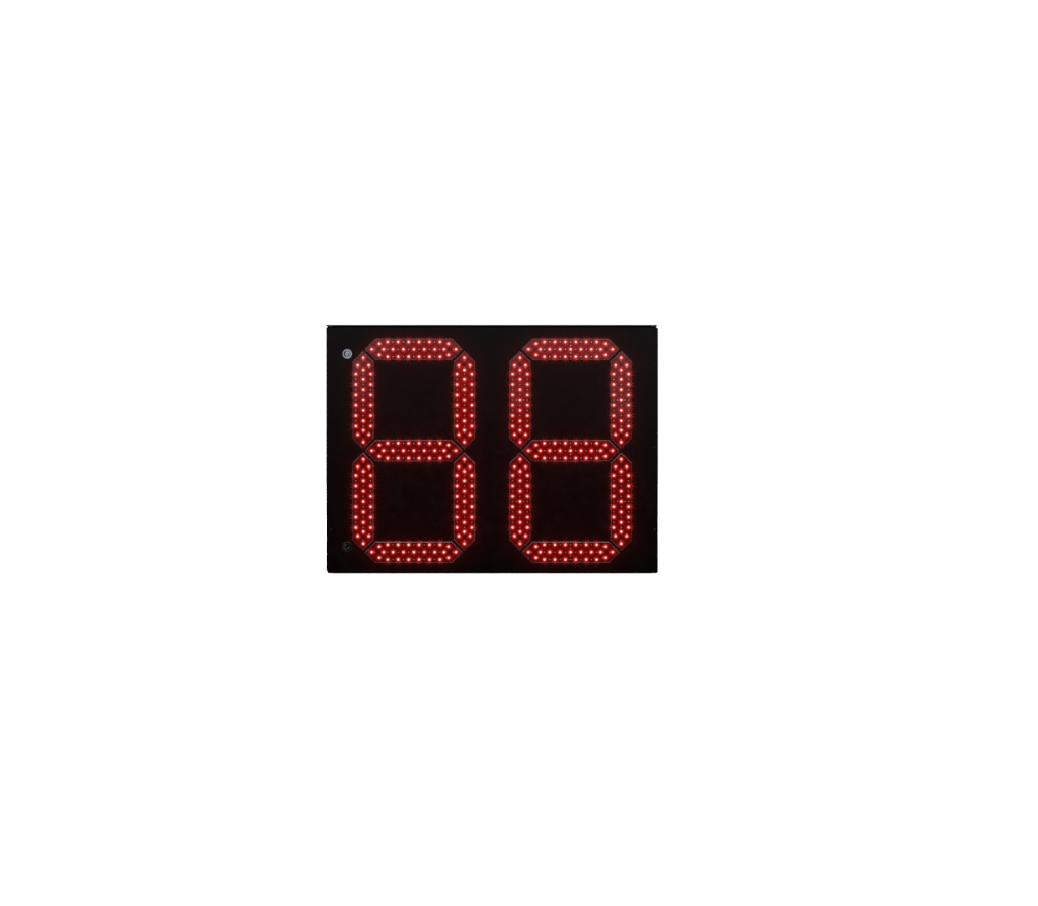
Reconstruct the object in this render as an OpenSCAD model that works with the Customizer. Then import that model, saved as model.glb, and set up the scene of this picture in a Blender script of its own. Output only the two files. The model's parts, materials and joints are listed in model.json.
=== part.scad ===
// Two-digit LED countdown signal head: a shallow sheet-metal case with a hinged
// display door. The face looks along -Y, +X is to the viewer's right, +Z is up.
// The case stands on z = 0 and is centred on x = 0 and y = 0. Millimetres.

/* [Case] */
// Width over the door panel
face_w = 800; // [790:2:840]
// Height from the base of the case to the top of the rain hood
face_h = 600; // [598:2:640]
// Depth from the lock heads to the back of the mounting rails
depth = 130; // [126:2:170]
// Thickness of the folded sheet
sheet = 2; // [1.5:0.5:2]
// Gap between the top of the door and the rain hood
hood_gap = 4; // [3:0.5:5]

/* [Digits] */
// Distance from the centre line to the centre of each digit
digit_x = 189.25; // [187:0.25:192]
// Height of the digits' centres above the base
digit_z = 296.5; // [292:0.5:300]
// Distance between the centre lines of parallel segments
seg_pitch = 245; // [243:1:247]
// Half the width of a segment lens
seg_half_w = 25.4; // [25:0.1:26]
// Distance from the middle of a segment lens to its tip
seg_tip = 118.4; // [118:0.1:119]
// How far a lens stands out of the door panel
lens_proud = 2.4; // [2:0.2:3]

/* [LEDs] */
// Spacing of the lit LEDs along a segment
led_pitch = 25; // [24:0.5:25]
// Distance from a segment's middle row to each outer row
led_row = 17.7; // [17:0.1:18]
// Diameter of a red LED
led_d = 5; // [4:0.5:5]
// Diameter of a second-colour LED
led2_d = 3; // [2.5:0.5:3.5]

/* [Locks and hinges] */
// Diameter of a lock head
lock_d = 25; // [22:1:26]
// Distance from the centre line to the lock axes
lock_x = 349.5; // [349:0.5:350]
// Height of the lower lock
lock_z1 = 64.5; // [60:0.5:70]
// Height of the upper lock
lock_z2 = 530; // [520:0.5:532]
// Height of the middle hinge
hinge_z = 305; // [295:5:315]
// Distance between neighbouring hinges
hinge_pitch = 198.5; // [190:0.5:205]
// Radius of a hinge pin
pin_r = 2.5; // [2:0.1:2.7]

/* [Mounting rails] */
// Distance between the two rails
rail_pitch = 300; // [260:10:340]
// Distance between the slots of one rail
slot_pitch = 350; // [300:10:400]
// Width of a slot
slot_w = 11; // [9:1:13]
// Overall length of a slot
slot_l = 30; // [24:1:40]

/* [Hidden] */
$fn = 48;

// planes along Y, from the front to the back
y_lock = -depth / 2;
y_face = y_lock + 4;               // front of the door panel
y_in = y_face + sheet;             // inside of the door panel
y_frame = y_in + 6;                // back of the door frame
y_rim = y_frame + 4;               // front of the case rim
y_rim_in = y_rim + sheet;
y_flange = y_face + 26;            // back edge of the door's side flanges
y_axis = y_flange + 6;             // hinge axis
y_rail = depth / 2;                // back of the mounting rails
y_back = y_rail - 20;              // back of the back panel
y_back_in = y_back - sheet;
y_board = y_in + 8.5;              // front of the LED boards
board_t = 1.6;
y_board_in = y_board + board_t;
y_pot = y_board - 3;               // front of the potting
y_lens = y_face - lens_proud;
lens_wall = 2.2;
y_plate = y_back_in - 12;          // front of the chassis plate
plate_t = 2;

// outlines in X and Z
hw = face_w / 2;
case_hw = hw - 15;
case_h = face_h - sheet;           // top of the case under the hood
door_z0 = 1;
door_z1 = face_h - sheet - hood_gap;
rim_side = case_hw - 15.5;
rim_z0 = 17;
rim_z1 = case_h - 19;
frame_hw = hw - 4;
frame_in = hw - 38;
axis_x = hw - 9;
knuckle_r = 5;
HINGES = [for (k = [-1:1]) hinge_z + k * hinge_pitch];
LOCKS = [lock_z1, lock_z2];

// a segment: [x, z, turn] from the digit's centre
SEGMENTS = [
    [0, seg_pitch, 0], [0, 0, 0], [0, -seg_pitch, 0],
    for (sx = [-1, 1], sz = [-1, 1]) [sx * seg_pitch / 2, sz * seg_pitch / 2, 90]];
// LEDs of one segment: [along, across]
RED = [
    for (u = [-2.5:1:2.5], v = [-1, 1]) [u * led_pitch, v * led_row],
    for (u = [-2:2]) [u * led_pitch, 0],
    for (s = [-1, 1]) [s * 72.2, 0],
    for (s = [-1, 1]) [s * 102.3, 0],
    for (s = [-1, 1], v = [-1, 1]) [s * 84.6, v * 13.3]];
SECOND = [
    for (u = [-2:2], v = [-1, 1]) [u * led_pitch, v * led_row],
    for (u = [-2.5:1:2.5]) [u * led_pitch, 0]];
screw_u = 86.5;
POSTS = [for (sx = [-1, 1], z = [-204, -41, 41, 204]) [sx * 82, z]];

/* ---- helpers ---- */
// extrude an X-Z outline from y0 to y1
module span_y(y0, y1) translate([0, y1, 0]) rotate([90, 0, 0]) linear_extrude(y1 - y0) children();
// round bar along Y
module rod(r, y0, y1, x = 0, z = 0, n = 48)
    translate([x, y1, z]) rotate([90, 0, 0]) cylinder(r = r, h = y1 - y0, $fn = n);
// block from one corner to the other
module block(a, b) translate(a) cube(b - a);
module rect(x0, x1, z0, z1) translate([x0, z0]) square([x1 - x0, z1 - z0]);
module ring(x0, x1, z0, z1, w) difference() {
    rect(x0, x1, z0, z1);
    rect(x0 + w, x1 - w, z0 + w, z1 - w);
}
// hexagonal segment outline grown by g
module hexagon(g = 0) {
    w = seg_half_w + g;
    t = seg_tip + g * sqrt(2);
    polygon([[-t, 0], [w - t, w], [t - w, w], [t, 0], [t - w, -w], [w - t, -w]]);
}
module each_segment(side) for (s = SEGMENTS)
    translate([side * digit_x + s[0], 0, digit_z + s[1]]) rotate([0, s[2], 0]) children();
// hexagonal frustum between two grown outlines
function hex_ring(g, y) = let (w = seg_half_w + g, t = seg_tip + g * sqrt(2))
    [[-t, y, 0], [w - t, y, w], [t - w, y, w], [t, y, 0], [t - w, y, -w], [w - t, y, -w]];
module hex_frustum(g0, y0, g1, y1) polyhedron(
    points = concat(hex_ring(g0, y0), hex_ring(g1, y1)),
    faces = concat([[0, 1, 2, 3, 4, 5]], [[11, 10, 9, 8, 7, 6]],
        [for (i = [0:5]) let (j = (i + 1) % 6) [j, i, i + 6, j + 6]]));
// smooth route through a list of points, and a tube along it
function spline(p, t) = let (
        n = len(p) - 1, i = min(floor(t * n), n - 1), f = t * n - i,
        a = p[max(i - 1, 0)], b = p[i], c = p[i + 1], d = p[min(i + 2, n)])
    0.5 * ((2 * b) + (c - a) * f + (2 * a - 5 * b + 4 * c - d) * f * f
        + (3 * b - 3 * c + d - a) * f * f * f);
function unit(v) = v / norm(v);
function frames(path, ref) = [for (i = [0:len(path) - 1])
    let (t = unit(path[min(i + 1, len(path) - 1)] - path[max(i - 1, 0)]),
         u = unit(cross(t, ref)), w = cross(t, u)) [path[i], u, w]];
module tube(p, r, rings, sides = 10, ref = [0, 1, 0], flat = 1) {
    path = [for (i = [0:rings]) spline(p, i / rings)];
    fr = frames(path, ref);
    pts = [for (f = fr, k = [0:sides - 1])
        f[0] + r * cos(360 * k / sides) * f[1] + r * flat * sin(360 * k / sides) * f[2]];
    faces = concat(
        [[for (k = [0:sides - 1]) k]],
        [[for (k = [sides - 1:-1:0]) rings * sides + k]],
        [for (i = [0:rings - 1], k = [0:sides - 1]) let (j = (k + 1) % sides)
            [i * sides + k, (i + 1) * sides + k, (i + 1) * sides + j, i * sides + j]]);
    polyhedron(points = pts, faces = faces);
}
// slotted pan-head screw pointing into the part along +Y
module pan_screw(x, z, y, head_r, head_h, shank_r, len) difference() {
    union() {
        rod(head_r, y - head_h, y, x, z);
        rod(shank_r, y, y + len, x, z);
    }
    block([x - head_r * 0.6, y - head_h - 1, z - 0.45], [x + head_r * 0.6, y - head_h * 0.45, z + 0.45]);
    block([x - 0.45, y - head_h - 1, z - head_r * 0.6], [x + 0.45, y - head_h * 0.45, z + head_r * 0.6]);
}

/* ---- case ---- */
DRAINS = [-300, 300];
back_xs = [-1, 1] * (case_hw - 7);
BACK_SCREWS = [
    for (x = back_xs, z = [30, 165, 299, 433, case_h - 30]) [x, z],
    for (x = [-250, -85, 85, 250], z = [7, case_h - 7]) [x, z]];
module housing_wrap() color([0.06, 0.06, 0.065]) difference() {
    union() {
        span_y(y_rim, y_back_in) ring(-case_hw, case_hw, 0, case_h, sheet);
        span_y(y_rim, y_rim_in) difference() {
            rect(-case_hw + 1, case_hw - 1, 1, case_h - 1);
            rect(-rim_side, rim_side, rim_z0, rim_z1);
        }
        span_y(y_back_in - sheet, y_back_in) ring(-case_hw + 1, case_hw - 1, 1, case_h - 1, 13);
    }
    for (x = DRAINS) translate([x, 20, -1]) cylinder(r = 3, h = 4);
    for (p = BACK_SCREWS) rod(2.05, y_back_in - 3, y_back_in + 1, p[0], p[1], 24);
}
gland_x = -230;
gland_z = 48;
vent_x = 300;
vent_z = 48;
earth_x = -320;
module back_panel() color([0.06, 0.06, 0.065]) difference() {
    span_y(y_back_in, y_back) rect(-case_hw + 1, case_hw - 1, 1, case_h - 1);
    for (p = BACK_SCREWS) rod(2.05, y_back_in - 1, y_back + 1, p[0], p[1], 24);
    for (p = RAIL_BOLTS) rod(3.1, y_back_in - 1, y_back + 1, p[0], p[1], 24);
    rod(10.1, y_back_in - 1, y_back + 1, gland_x, gland_z);
    rod(6.1, y_back_in - 1, y_back + 1, vent_x, vent_z);
}
module back_screws() color([0.55, 0.56, 0.58]) for (p = BACK_SCREWS) mirror([0, 1, 0])
    pan_screw(p[0], p[1], -y_back, 3.8, 2.4, 2, 8);
module rain_hood() color([0.05, 0.05, 0.055]) {
    block([-hw, y_face - 1.5, face_h - sheet], [hw - 2.4, 0, face_h]);
    block([-hw, y_flange + 4, door_z1 + 0.5], [-case_hw - 0.2, y_flange + 6, face_h - 1]);
    block([case_hw + 0.2, y_flange + 4, door_z1 + 0.5], [hw - 2.4, y_flange + 6, face_h - 1]);
}
RAILS = [face_h / 2 - rail_pitch / 2, face_h / 2 + rail_pitch / 2];
rail_hl = 250;
RAIL_BOLTS = [for (z = RAILS, x = [-220, -80, 80, 220], s = [-1, 1]) [x, z + s * 27]];
module rail(z) color([0.5, 0.52, 0.54]) difference() {
    translate([0, 0, z]) rotate([0, 90, 0]) translate([0, 0, -rail_hl]) linear_extrude(2 * rail_hl)
        polygon([[-34, y_back], [-17.5, y_back], [-17.5, y_rail - 2.5], [17.5, y_rail - 2.5],
            [17.5, y_back], [34, y_back], [34, y_back + 2.5], [20, y_back + 2.5], [20, y_rail],
            [-20, y_rail], [-20, y_back + 2.5], [-34, y_back + 2.5]]);
    for (p = RAIL_BOLTS) rod(3.1, y_back - 1, y_back + 4, p[0], p[1], 24);
    for (s = [-1, 1]) span_y(y_rail - 4, y_rail + 1) translate([s * slot_pitch / 2, z]) {
        square([slot_l - slot_w, slot_w], center = true);
        for (e = [-1, 1]) translate([e * (slot_l - slot_w) / 2, 0]) circle(d = slot_w);
    }
}
module mount_rail_lower() rail(RAILS[0]);
module mount_rail_upper() rail(RAILS[1]);
module rail_bolts() color([0.62, 0.63, 0.65]) for (p = RAIL_BOLTS) {
    rod(5.77, y_back + 2.5, y_back + 6.5, p[0], p[1], 6);
    rod(3, y_back_in - 8, y_back + 2.5, p[0], p[1], 24);
}
module rail_nuts() color([0.62, 0.63, 0.65]) for (p = RAIL_BOLTS) difference() {
    union() {
        rod(5.77, y_back_in - 6.4, y_back_in - 1.4, p[0], p[1], 6);
        rod(6.2, y_back_in - 1.4, y_back_in, p[0], p[1]);
    }
    rod(3.05, y_back_in - 8, y_back_in + 1, p[0], p[1], 24);
}

/* ---- hinges ---- */
knuckle = 14.7;
module hinge_leaves_case() color([0.5, 0.51, 0.53]) for (z = HINGES) difference() {
    union() {
        difference() {
            block([case_hw, y_axis - 3, z - 30], [case_hw + 1.8, y_axis + 32, z + 30]);
            block([case_hw - 1, y_axis - 6, z - knuckle - 0.3], [case_hw + 9, y_axis + 6.2, z + knuckle + 0.3]);
        }
        for (s = [-1, 1]) translate([0, 0, z + s * (30 + knuckle + 0.3) / 2]) {
            translate([axis_x, y_axis, -(30 - knuckle - 0.3) / 2]) cylinder(r = knuckle_r, h = 30 - knuckle - 0.3);
            block([case_hw, y_axis, -(30 - knuckle - 0.3) / 2], [axis_x, y_axis + knuckle_r, (30 - knuckle - 0.3) / 2]);
        }
    }
    translate([axis_x, y_axis, z - 31]) cylinder(r = pin_r + 0.05, h = 62);
    for (s = [-1, 1]) translate([case_hw - 1, y_axis + 21, z + s * 20]) rotate([0, 90, 0])
        cylinder(r = 2.05, h = 4, $fn = 24);
}
module hinge_leaves_door() color([0.5, 0.51, 0.53]) for (z = HINGES) difference() {
    union() {
        block([hw - sheet - 1.8, y_in + 2.5, z - 30], [hw - sheet, y_flange, z + 30]);
        translate([axis_x, y_axis, z - knuckle]) cylinder(r = knuckle_r, h = 2 * knuckle);
        block([axis_x, y_flange - 3, z - knuckle], [hw - sheet, y_flange + 2.5, z + knuckle]);
    }
    translate([axis_x, y_axis, z - 31]) cylinder(r = pin_r + 0.05, h = 62);
}
module hinge_pins() color([0.7, 0.71, 0.73]) for (z = HINGES) {
    translate([axis_x, y_axis, z - 31.5]) cylinder(r = pin_r, h = 63);
    translate([axis_x, y_axis, z + 30]) cylinder(r = 4.2, h = 2.5);
}
module hinge_screws() color([0.6, 0.61, 0.63]) for (z = HINGES, s = [-1, 1])
    translate([case_hw + 1.8, y_axis + 21, z + s * 20]) rotate([0, 90, 0]) difference() {
        union() {
            cylinder(r = 3.6, h = 1.8);
            translate([0, 0, -1.8]) cylinder(r = 2, h = 2, $fn = 24);
        }
        translate([-2.4, -0.45, 0.8]) cube([4.8, 0.9, 2]);
    }

/* ---- entries in the back panel ---- */
module gland_body() color([0.09, 0.09, 0.1]) difference() {
    union() {
        rod(13.8, y_back, y_back + 5, gland_x, gland_z, 6);
        rod(10, y_back_in - 9, y_back + 1, gland_x, gland_z);
    }
    rod(5, y_back_in - 10, y_back + 6, gland_x, gland_z);
}
module gland_dome_nut() color([0.1, 0.1, 0.11]) translate([gland_x, y_back + 5, gland_z])
    rotate([-90, 0, 0]) difference() {
        rotate_extrude() polygon([[5, 0], [11.5, 0], [11.5, 8], [11, 10.2], [9.6, 12], [7.4, 13.4], [5, 14]]);
        for (a = [0:30:330]) rotate([0, 0, a]) translate([11.9, 0, -1]) cylinder(r = 0.9, h = 9, $fn = 16);
    }
module gland_locknut() color([0.1, 0.1, 0.11]) difference() {
    rod(13.8, y_back_in - 5, y_back_in, gland_x, gland_z, 6);
    rod(10.05, y_back_in - 6, y_back_in + 1, gland_x, gland_z);
}
module vent_plug() color([0.1, 0.1, 0.11]) {
    rod(9, y_back, y_back + 4, vent_x, vent_z);
    rod(6.05, y_back_in - 8, y_back, vent_x, vent_z);
}
module earth_stud() color([0.72, 0.6, 0.32]) rod(3, y_back_in - 26, y_back_in, earth_x, gland_z);
module earth_nuts() color([0.75, 0.66, 0.4]) for (d = [0, 9]) difference() {
    union() {
        rod(5.77, y_back_in - 7.5 - d, y_back_in - 2.5 - d, earth_x, gland_z, 6);
        rod(6.4, y_back_in - 2.5 - d, y_back_in - 1 - d, earth_x, gland_z);
    }
    rod(3.05, y_back_in - 30, y_back_in, earth_x, gland_z);
}

/* ---- inside the case ---- */
PLATE_POSTS = [for (x = [-300, 0, 300], z = [102, 528]) [x, z]];
CTRL_POSTS = [for (x = [58, 222], z = [208, 332]) [x, z]];
module chassis_plate() color([0.68, 0.69, 0.7]) difference() {
    span_y(y_plate, y_plate + plate_t) rect(-315, 315, 90, 540);
    for (p = PLATE_POSTS) rod(2.1, y_plate - 1, y_plate + 3, p[0], p[1], 24);
}
module chassis_posts() color([0.6, 0.61, 0.63]) {
    for (p = PLATE_POSTS) {
        rod(5, y_plate + plate_t, y_back_in, p[0], p[1]);
        rod(2, y_plate, y_plate + plate_t, p[0], p[1], 24);
        rod(4, y_plate - 2.6, y_plate, p[0], p[1], 6);
    }
    for (p = CTRL_POSTS) rod(3.5, y_plate - 8, y_plate, p[0], p[1], 24);
}
psu = [-270, -75, 250, 348];
module power_supply() color([0.62, 0.63, 0.64]) difference() {
    block([psu[0], y_plate - 38, psu[2]], [psu[1], y_plate, psu[3]]);
    block([psu[0] - 1, y_plate - 39, psu[2] + 2], [psu[0] + 22, y_plate - 16, psu[3] - 2]);
    for (i = [0:9], j = [0:4]) rod(2.2, y_plate - 39, y_plate - 34, psu[0] + 48 + i * 14, psu[2] + 17 + j * 16, 16);
}
module power_terminals() color([0.1, 0.1, 0.1]) difference() {
    block([psu[0] + 3, y_plate - 30, psu[2] + 6], [psu[0] + 19, y_plate - 16, psu[3] - 6]);
    for (k = [0:6]) block([psu[0] + 5, y_plate - 31, psu[2] + 9 + k * 12], [psu[0] + 17, y_plate - 24, psu[2] + 17 + k * 12]);
}
tb = [-260, -176, 130, 156];
module terminal_block() color([0.85, 0.84, 0.8]) difference() {
    block([tb[0], y_plate - 20, tb[2]], [tb[1], y_plate, tb[3]]);
    for (k = [0:5]) {
        block([tb[0] + 3 + k * 13.5, y_plate - 21, tb[2] - 1], [tb[0] + 13 + k * 13.5, y_plate - 12, tb[2] + 8]);
        block([tb[0] + 3 + k * 13.5, y_plate - 21, tb[3] - 8], [tb[0] + 13 + k * 13.5, y_plate - 12, tb[3] + 1]);
    }
}
cb = [50, 230, 200, 340];
y_cb = y_plate - 8;
module controller_board() color([0.05, 0.3, 0.16])
    block([cb[0], y_cb - 1.6, cb[2]], [cb[1], y_cb, cb[3]]);
module controller_parts() color([0.12, 0.12, 0.13]) {
    yb = y_cb - 1.6;
    block([118, yb - 2, 262], [142, yb, 286]);
    for (k = [0:2]) block([160, yb - 1.8, 252 + k * 22], [172, yb, 262 + k * 22]);
    for (k = [0:3]) rod(5, yb - 12, yb, 72 + k * 14, 320);
    for (k = [0:1]) block([204, yb - 9, 222 + k * 52], [214, yb, 258 + k * 52]);
    block([60, yb - 11, 208], [100, yb, 220]);
    block([176, yb - 6, 310], [196, yb, 330]);
}
btn = [104, 316];
module test_switch_body() color([0.15, 0.15, 0.16]) difference() {
    block([btn[0] + 30 - 7, y_cb - 1.6 - 8, btn[1] - 7], [btn[0] + 30 + 7, y_cb - 1.6, btn[1] + 7]);
    rod(4.05, y_cb - 11, y_cb - 1.6 - 2, btn[0] + 30, btn[1]);
}
module test_button() color([0.7, 0.08, 0.06]) {
    rod(4, y_cb - 1.6 - 12, y_cb - 1.6 - 4.6, btn[0] + 30, btn[1]);
}
module dc_lead() color([0.7, 0.08, 0.06]) tube([[-267.2, y_plate - 27.5, 335], [-277, y_plate - 27.5, 336],
    [-286, y_plate - 20, 348], [-272, y_plate - 8, 368], [-160, y_plate - 5, 378], [-40, y_plate - 5, 372], [10, y_plate - 5, 300],
    [26, y_plate - 8, 232], [44, y_plate - 14, 214], [59.9, y_plate - 16, 214]], 2.6, 60, 8);
module mains_lead() color([0.15, 0.15, 0.17]) tube([[-218, y_plate - 16, 156.1], [-218, y_plate - 16, 172],
    [-236, y_plate - 7, 186], [-280, y_plate - 6, 206], [-296, y_plate - 10, 246],
    [-292, y_plate - 24, 270], [-280, y_plate - 27.5, 273], [-267.2, y_plate - 27.5, 273]], 3, 48, 8);
loom_x = 360;
loom_z0 = 190;
loom_z1 = 420;
module loom_case() color([0.1, 0.1, 0.11]) {
    tube([[214.1, y_plate - 14, 240], [232, y_plate - 14, 240], [262, y_plate - 8, 226], [300, y_plate - 8, 168],
        [336, y_plate - 14, 138], [356, y_plate - 22, 150], [loom_x, y_plate - 26, 172],
        [loom_x, y_plate - 26, loom_z0 - 9], [loom_x, y_plate - 26, loom_z0]], 4, 60, 10);
    block([case_hw - sheet - 6, y_plate - 31, loom_z0 - 16], [case_hw - sheet, y_plate - 21, loom_z0 - 4]);
    block([loom_x + 3.4, y_plate - 28, loom_z0 - 14], [case_hw - sheet - 5, y_plate - 24, loom_z0 - 6]);
}
loom_dx = loom_x - 3;
loom_dy = y_in + 4.4;
module loom_crossing() color([0.1, 0.1, 0.11])
    tube([[loom_x, y_plate - 26, loom_z0], [loom_x, y_plate - 26, loom_z0 + 10], [loom_x, y_plate - 26, loom_z0 + 20],
        [loom_x, y_plate - 38, 236], [loom_x - 1.5, y_plate - 60, 266], [loom_dx, loom_dy + 3, 298],
        [loom_dx, loom_dy, 320], [loom_dx, loom_dy, loom_z1 - 30],
        [loom_dx, loom_dy, loom_z1 - 10], [loom_dx, loom_dy, loom_z1]], 4, 44, 10);
module loom_door() color([0.1, 0.1, 0.11]) {
    tube([[loom_dx, loom_dy, loom_z1], [loom_dx, loom_dy, loom_z1 + 7], [loom_dx, loom_dy, loom_z1 + 14],
        [353, y_frame + 6, loom_z1 + 33], [338, y_frame + 13, loom_z1 + 42], [322.1, y_frame + 13, loom_z1 + 42]], 4, 32, 10);
    block([loom_dx + 2.4, y_in + 1.4, loom_z1 + 4], [frame_in, y_in + 7.4, loom_z1 + 12]);
}

/* ---- door ---- */
module door_outline(o = 0) {
    n = [9, 4] / norm([9, 4]);
    a = [-hw, door_z0 + 9] + n * o;
    b = [-hw + 4, door_z0] + n * o;
    e = (b - a) / norm(b - a);
    difference() {
        union() {
            rect(-hw + o, hw - 5, door_z0 + o, door_z1 - o);
            rect(hw - 6, hw - o, door_z0 + 5, door_z1 - 5);
            for (z = [door_z0 + 5, door_z1 - 5]) translate([hw - 5, z]) circle(r = 5 - o);
        }
        polygon([a - e * 6, b + e * 6, [-hw - 12, door_z0 - 12]]);
    }
}
RIVETS = [
    for (k = [-1:1]) [hw - 8.5, hinge_z + k * hinge_pitch],
    [-hw + 11, hinge_z - hinge_pitch]];
module door_panel() color([0.07, 0.065, 0.067]) difference() {
    span_y(y_face, y_flange) door_outline();
    span_y(y_in, y_flange + 1) door_outline(sheet);
    block([-hw + 6, y_face + 10, door_z0 - 1], [hw - 6, y_flange + 1, door_z1 + 1]);
    for (s = [-1, 1]) each_segment(s) span_y(y_face - 1, y_in + 1) hexagon(0.2);
    for (z = LOCKS) rod(8.1, y_face - 1, y_in + 1, -lock_x, z);
    for (p = RIVETS) rod(1.65, y_face - 1, y_in + 1, p[0], p[1], 24);
}
module door_frame() color([0.5, 0.51, 0.53]) difference() {
    span_y(y_in, y_frame) difference() {
        rect(-frame_hw, frame_hw, door_z0 + 3, door_z1 - 3);
        rect(-frame_in, frame_in, door_z0 + 18.5, door_z1 - 17.5);
    }
    span_y(y_in + 1.5, y_frame - 1.5) rect(-frame_hw + 1.5, frame_hw - 1.5, door_z0 + 4.5, door_z1 - 4.5);
    span_y(y_in - 1, y_frame + 1) polygon([[-frame_hw - 1, door_z0], [-frame_hw + 7, door_z0], [-frame_hw - 1, door_z0 + 12]]);
    for (p = RIVETS) rod(1.65, y_in - 1, y_in + 2, p[0], p[1], 24);
}
module door_stiffener() color([0.5, 0.51, 0.53]) span_y2(door_z0 + 18.6, door_z1 - 17.6)
    polygon([[-30, y_in], [-16.5, y_in], [-16.5, y_in + 6.5], [16.5, y_in + 6.5], [16.5, y_in], [30, y_in],
        [30, y_in + 1.5], [18, y_in + 1.5], [18, y_in + 8], [-18, y_in + 8], [-18, y_in + 1.5], [-30, y_in + 1.5]]);
module span_y2(z0, z1) translate([0, 0, z0]) linear_extrude(z1 - z0) children();
module door_gasket() color([0.03, 0.03, 0.03]) span_y(y_frame, y_rim)
    ring(-rim_side - 13, rim_side + 13, 4.5, rim_z1 + 12.5, 11);
module door_rivets() color([0.3, 0.3, 0.31]) for (p = RIVETS) {
    translate([p[0], y_face, p[1]]) rotate([90, 0, 0]) cylinder(r1 = 2.6, r2 = 1.6, h = 0.9, $fn = 24);
    rod(1.6, y_face, y_in + 1.5, p[0], p[1], 24);
    rod(2.3, y_in + 1.5, y_in + 3.2, p[0], p[1], 24);
}
module lenses(side) each_segment(side) difference() {
    union() {
        hex_frustum(-2, y_lens, 0, y_lens + 2);
        span_y(y_lens + 2, y_in) hexagon(0);
        span_y(y_in, y_in + 1.6) hexagon(2.4);
    }
    span_y(y_lens + lens_wall, y_in + 3) hexagon(-2);
}
module lens_left() color([0.75, 0.72, 0.72, 0.4]) lenses(-1);
module lens_right() color([0.75, 0.72, 0.72, 0.4]) lenses(1);
module shrouds(side) each_segment(side) span_y(y_in + 1.6, y_board) difference() {
    hexagon(1.6);
    hexagon(0.05);
}
module shroud_left() color([0.1, 0.1, 0.1]) shrouds(-1);
module shroud_right() color([0.1, 0.1, 0.1]) shrouds(1);
module pottings(side) each_segment(side) difference() {
    span_y(y_pot, y_board) hexagon(0);
    for (s = [-1, 1]) rod(1.55, y_pot - 1, y_board + 1, s * screw_u, 0, 24);
}
module potting_left() color([0.12, 0.03, 0.03]) pottings(-1);
module potting_right() color([0.12, 0.03, 0.03]) pottings(1);
board_hw = seg_pitch / 2 + seg_half_w + 3;
board_hh = seg_pitch + seg_half_w + 3;
board_cut = board_hw + board_hh - 369;
module board(side) difference() {
    span_y(y_board, y_board_in) translate([side * digit_x, digit_z]) polygon([
        for (q = [[1, 1], [1, -1], [-1, -1], [-1, 1]], k = [0, 1])
            let (m = q[0] * q[1] > 0 ? k : 1 - k)
            [q[0] * (board_hw - (m == 0 ? board_cut : 0)), q[1] * (board_hh - (m == 1 ? board_cut : 0))]]);
    each_segment(side) for (s = [-1, 1]) rod(1.55, y_board - 1, y_board_in + 1, s * screw_u, 0, 24);
    for (p = POSTS) rod(2.1, y_board - 1, y_board_in + 1, side * digit_x + p[0], digit_z + p[1], 24);
}
module board_left() color([0.03, 0.22, 0.12]) board(-1);
module board_right() color([0.03, 0.22, 0.12]) board(1);
module led(r, h, p) translate([p[0], y_pot, p[1]]) rotate([90, 0, 0]) {
    cylinder(r = r, h = h - r, $fn = 24);
    translate([0, 0, h - r]) sphere(r = r, $fn = 24);
}
module red_leds(side) each_segment(side) for (p = RED) led(led_d / 2, 7, p);
module red_leds_left() color([1, 0.35, 0.3]) red_leds(-1);
module red_leds_right() color([1, 0.35, 0.3]) red_leds(1);
module second_leds(side) each_segment(side) {
    for (p = SECOND) led(led2_d / 2, 4, p);
    if (side > 0) for (s = [-1, 1]) led(led2_d / 2, 4, [0, s * 9]);
}
module second_leds_left() color([0.6, 0.55, 0.5]) second_leds(-1);
module second_leds_right() color([0.6, 0.55, 0.5]) second_leds(1);
module segment_screws() color([0.1, 0.1, 0.1]) for (side = [-1, 1]) each_segment(side)
    for (s = [-1, 1]) pan_screw(s * screw_u, 0, y_pot, 3.3, 2.2, 1.5, 5.6);
module board_posts() color([0.6, 0.61, 0.63]) for (side = [-1, 1], p = POSTS) {
    rod(4, y_in, y_board, side * digit_x + p[0], digit_z + p[1], 24);
    rod(2, y_board, y_board_in + 5, side * digit_x + p[0], digit_z + p[1], 24);
}
module board_nuts() color([0.62, 0.63, 0.65]) for (side = [-1, 1], p = POSTS) difference() {
    rod(4.04, y_board_in, y_board_in + 3.2, side * digit_x + p[0], digit_z + p[1], 6);
    rod(2.05, y_board_in - 1, y_board_in + 5, side * digit_x + p[0], digit_z + p[1], 24);
}
module driver_parts() color([0.1, 0.1, 0.11]) for (side = [-1, 1]) {
    for (s = SEGMENTS, k = [-1:1]) {
        x = side * digit_x + s[0] + (s[2] == 0 ? k * 40 : 0);
        z = digit_z + s[1] + (s[2] == 0 ? 0 : k * 40);
        block([x - 5, y_board_in, z - 3], [x + 5, y_board_in + 1.8, z + 3]);
    }
    block([side * 66 - 5, y_board_in, 286], [side * 66 + 5, y_board_in + 8, 318]);
    for (s = [-1, 1]) rod(5, y_board_in, y_board_in + 10, side * 130 + s * 16, 400);
    if (side > 0) block([312, y_board_in, loom_z1 + 26], [322, y_board_in + 12, loom_z1 + 58]);
}
module ribbon_link() color([0.42, 0.43, 0.45]) span_y2(288, 316) polygon([
    [-61, y_board_in + 3], [-48, y_board_in + 3], [-36, y_board_in + 5.5], [36, y_board_in + 5.5],
    [48, y_board_in + 3], [61, y_board_in + 3], [61, y_board_in + 4], [48.5, y_board_in + 4],
    [36.5, y_board_in + 6.5], [-36.5, y_board_in + 6.5], [-48.5, y_board_in + 4], [-61, y_board_in + 4]]);

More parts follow.
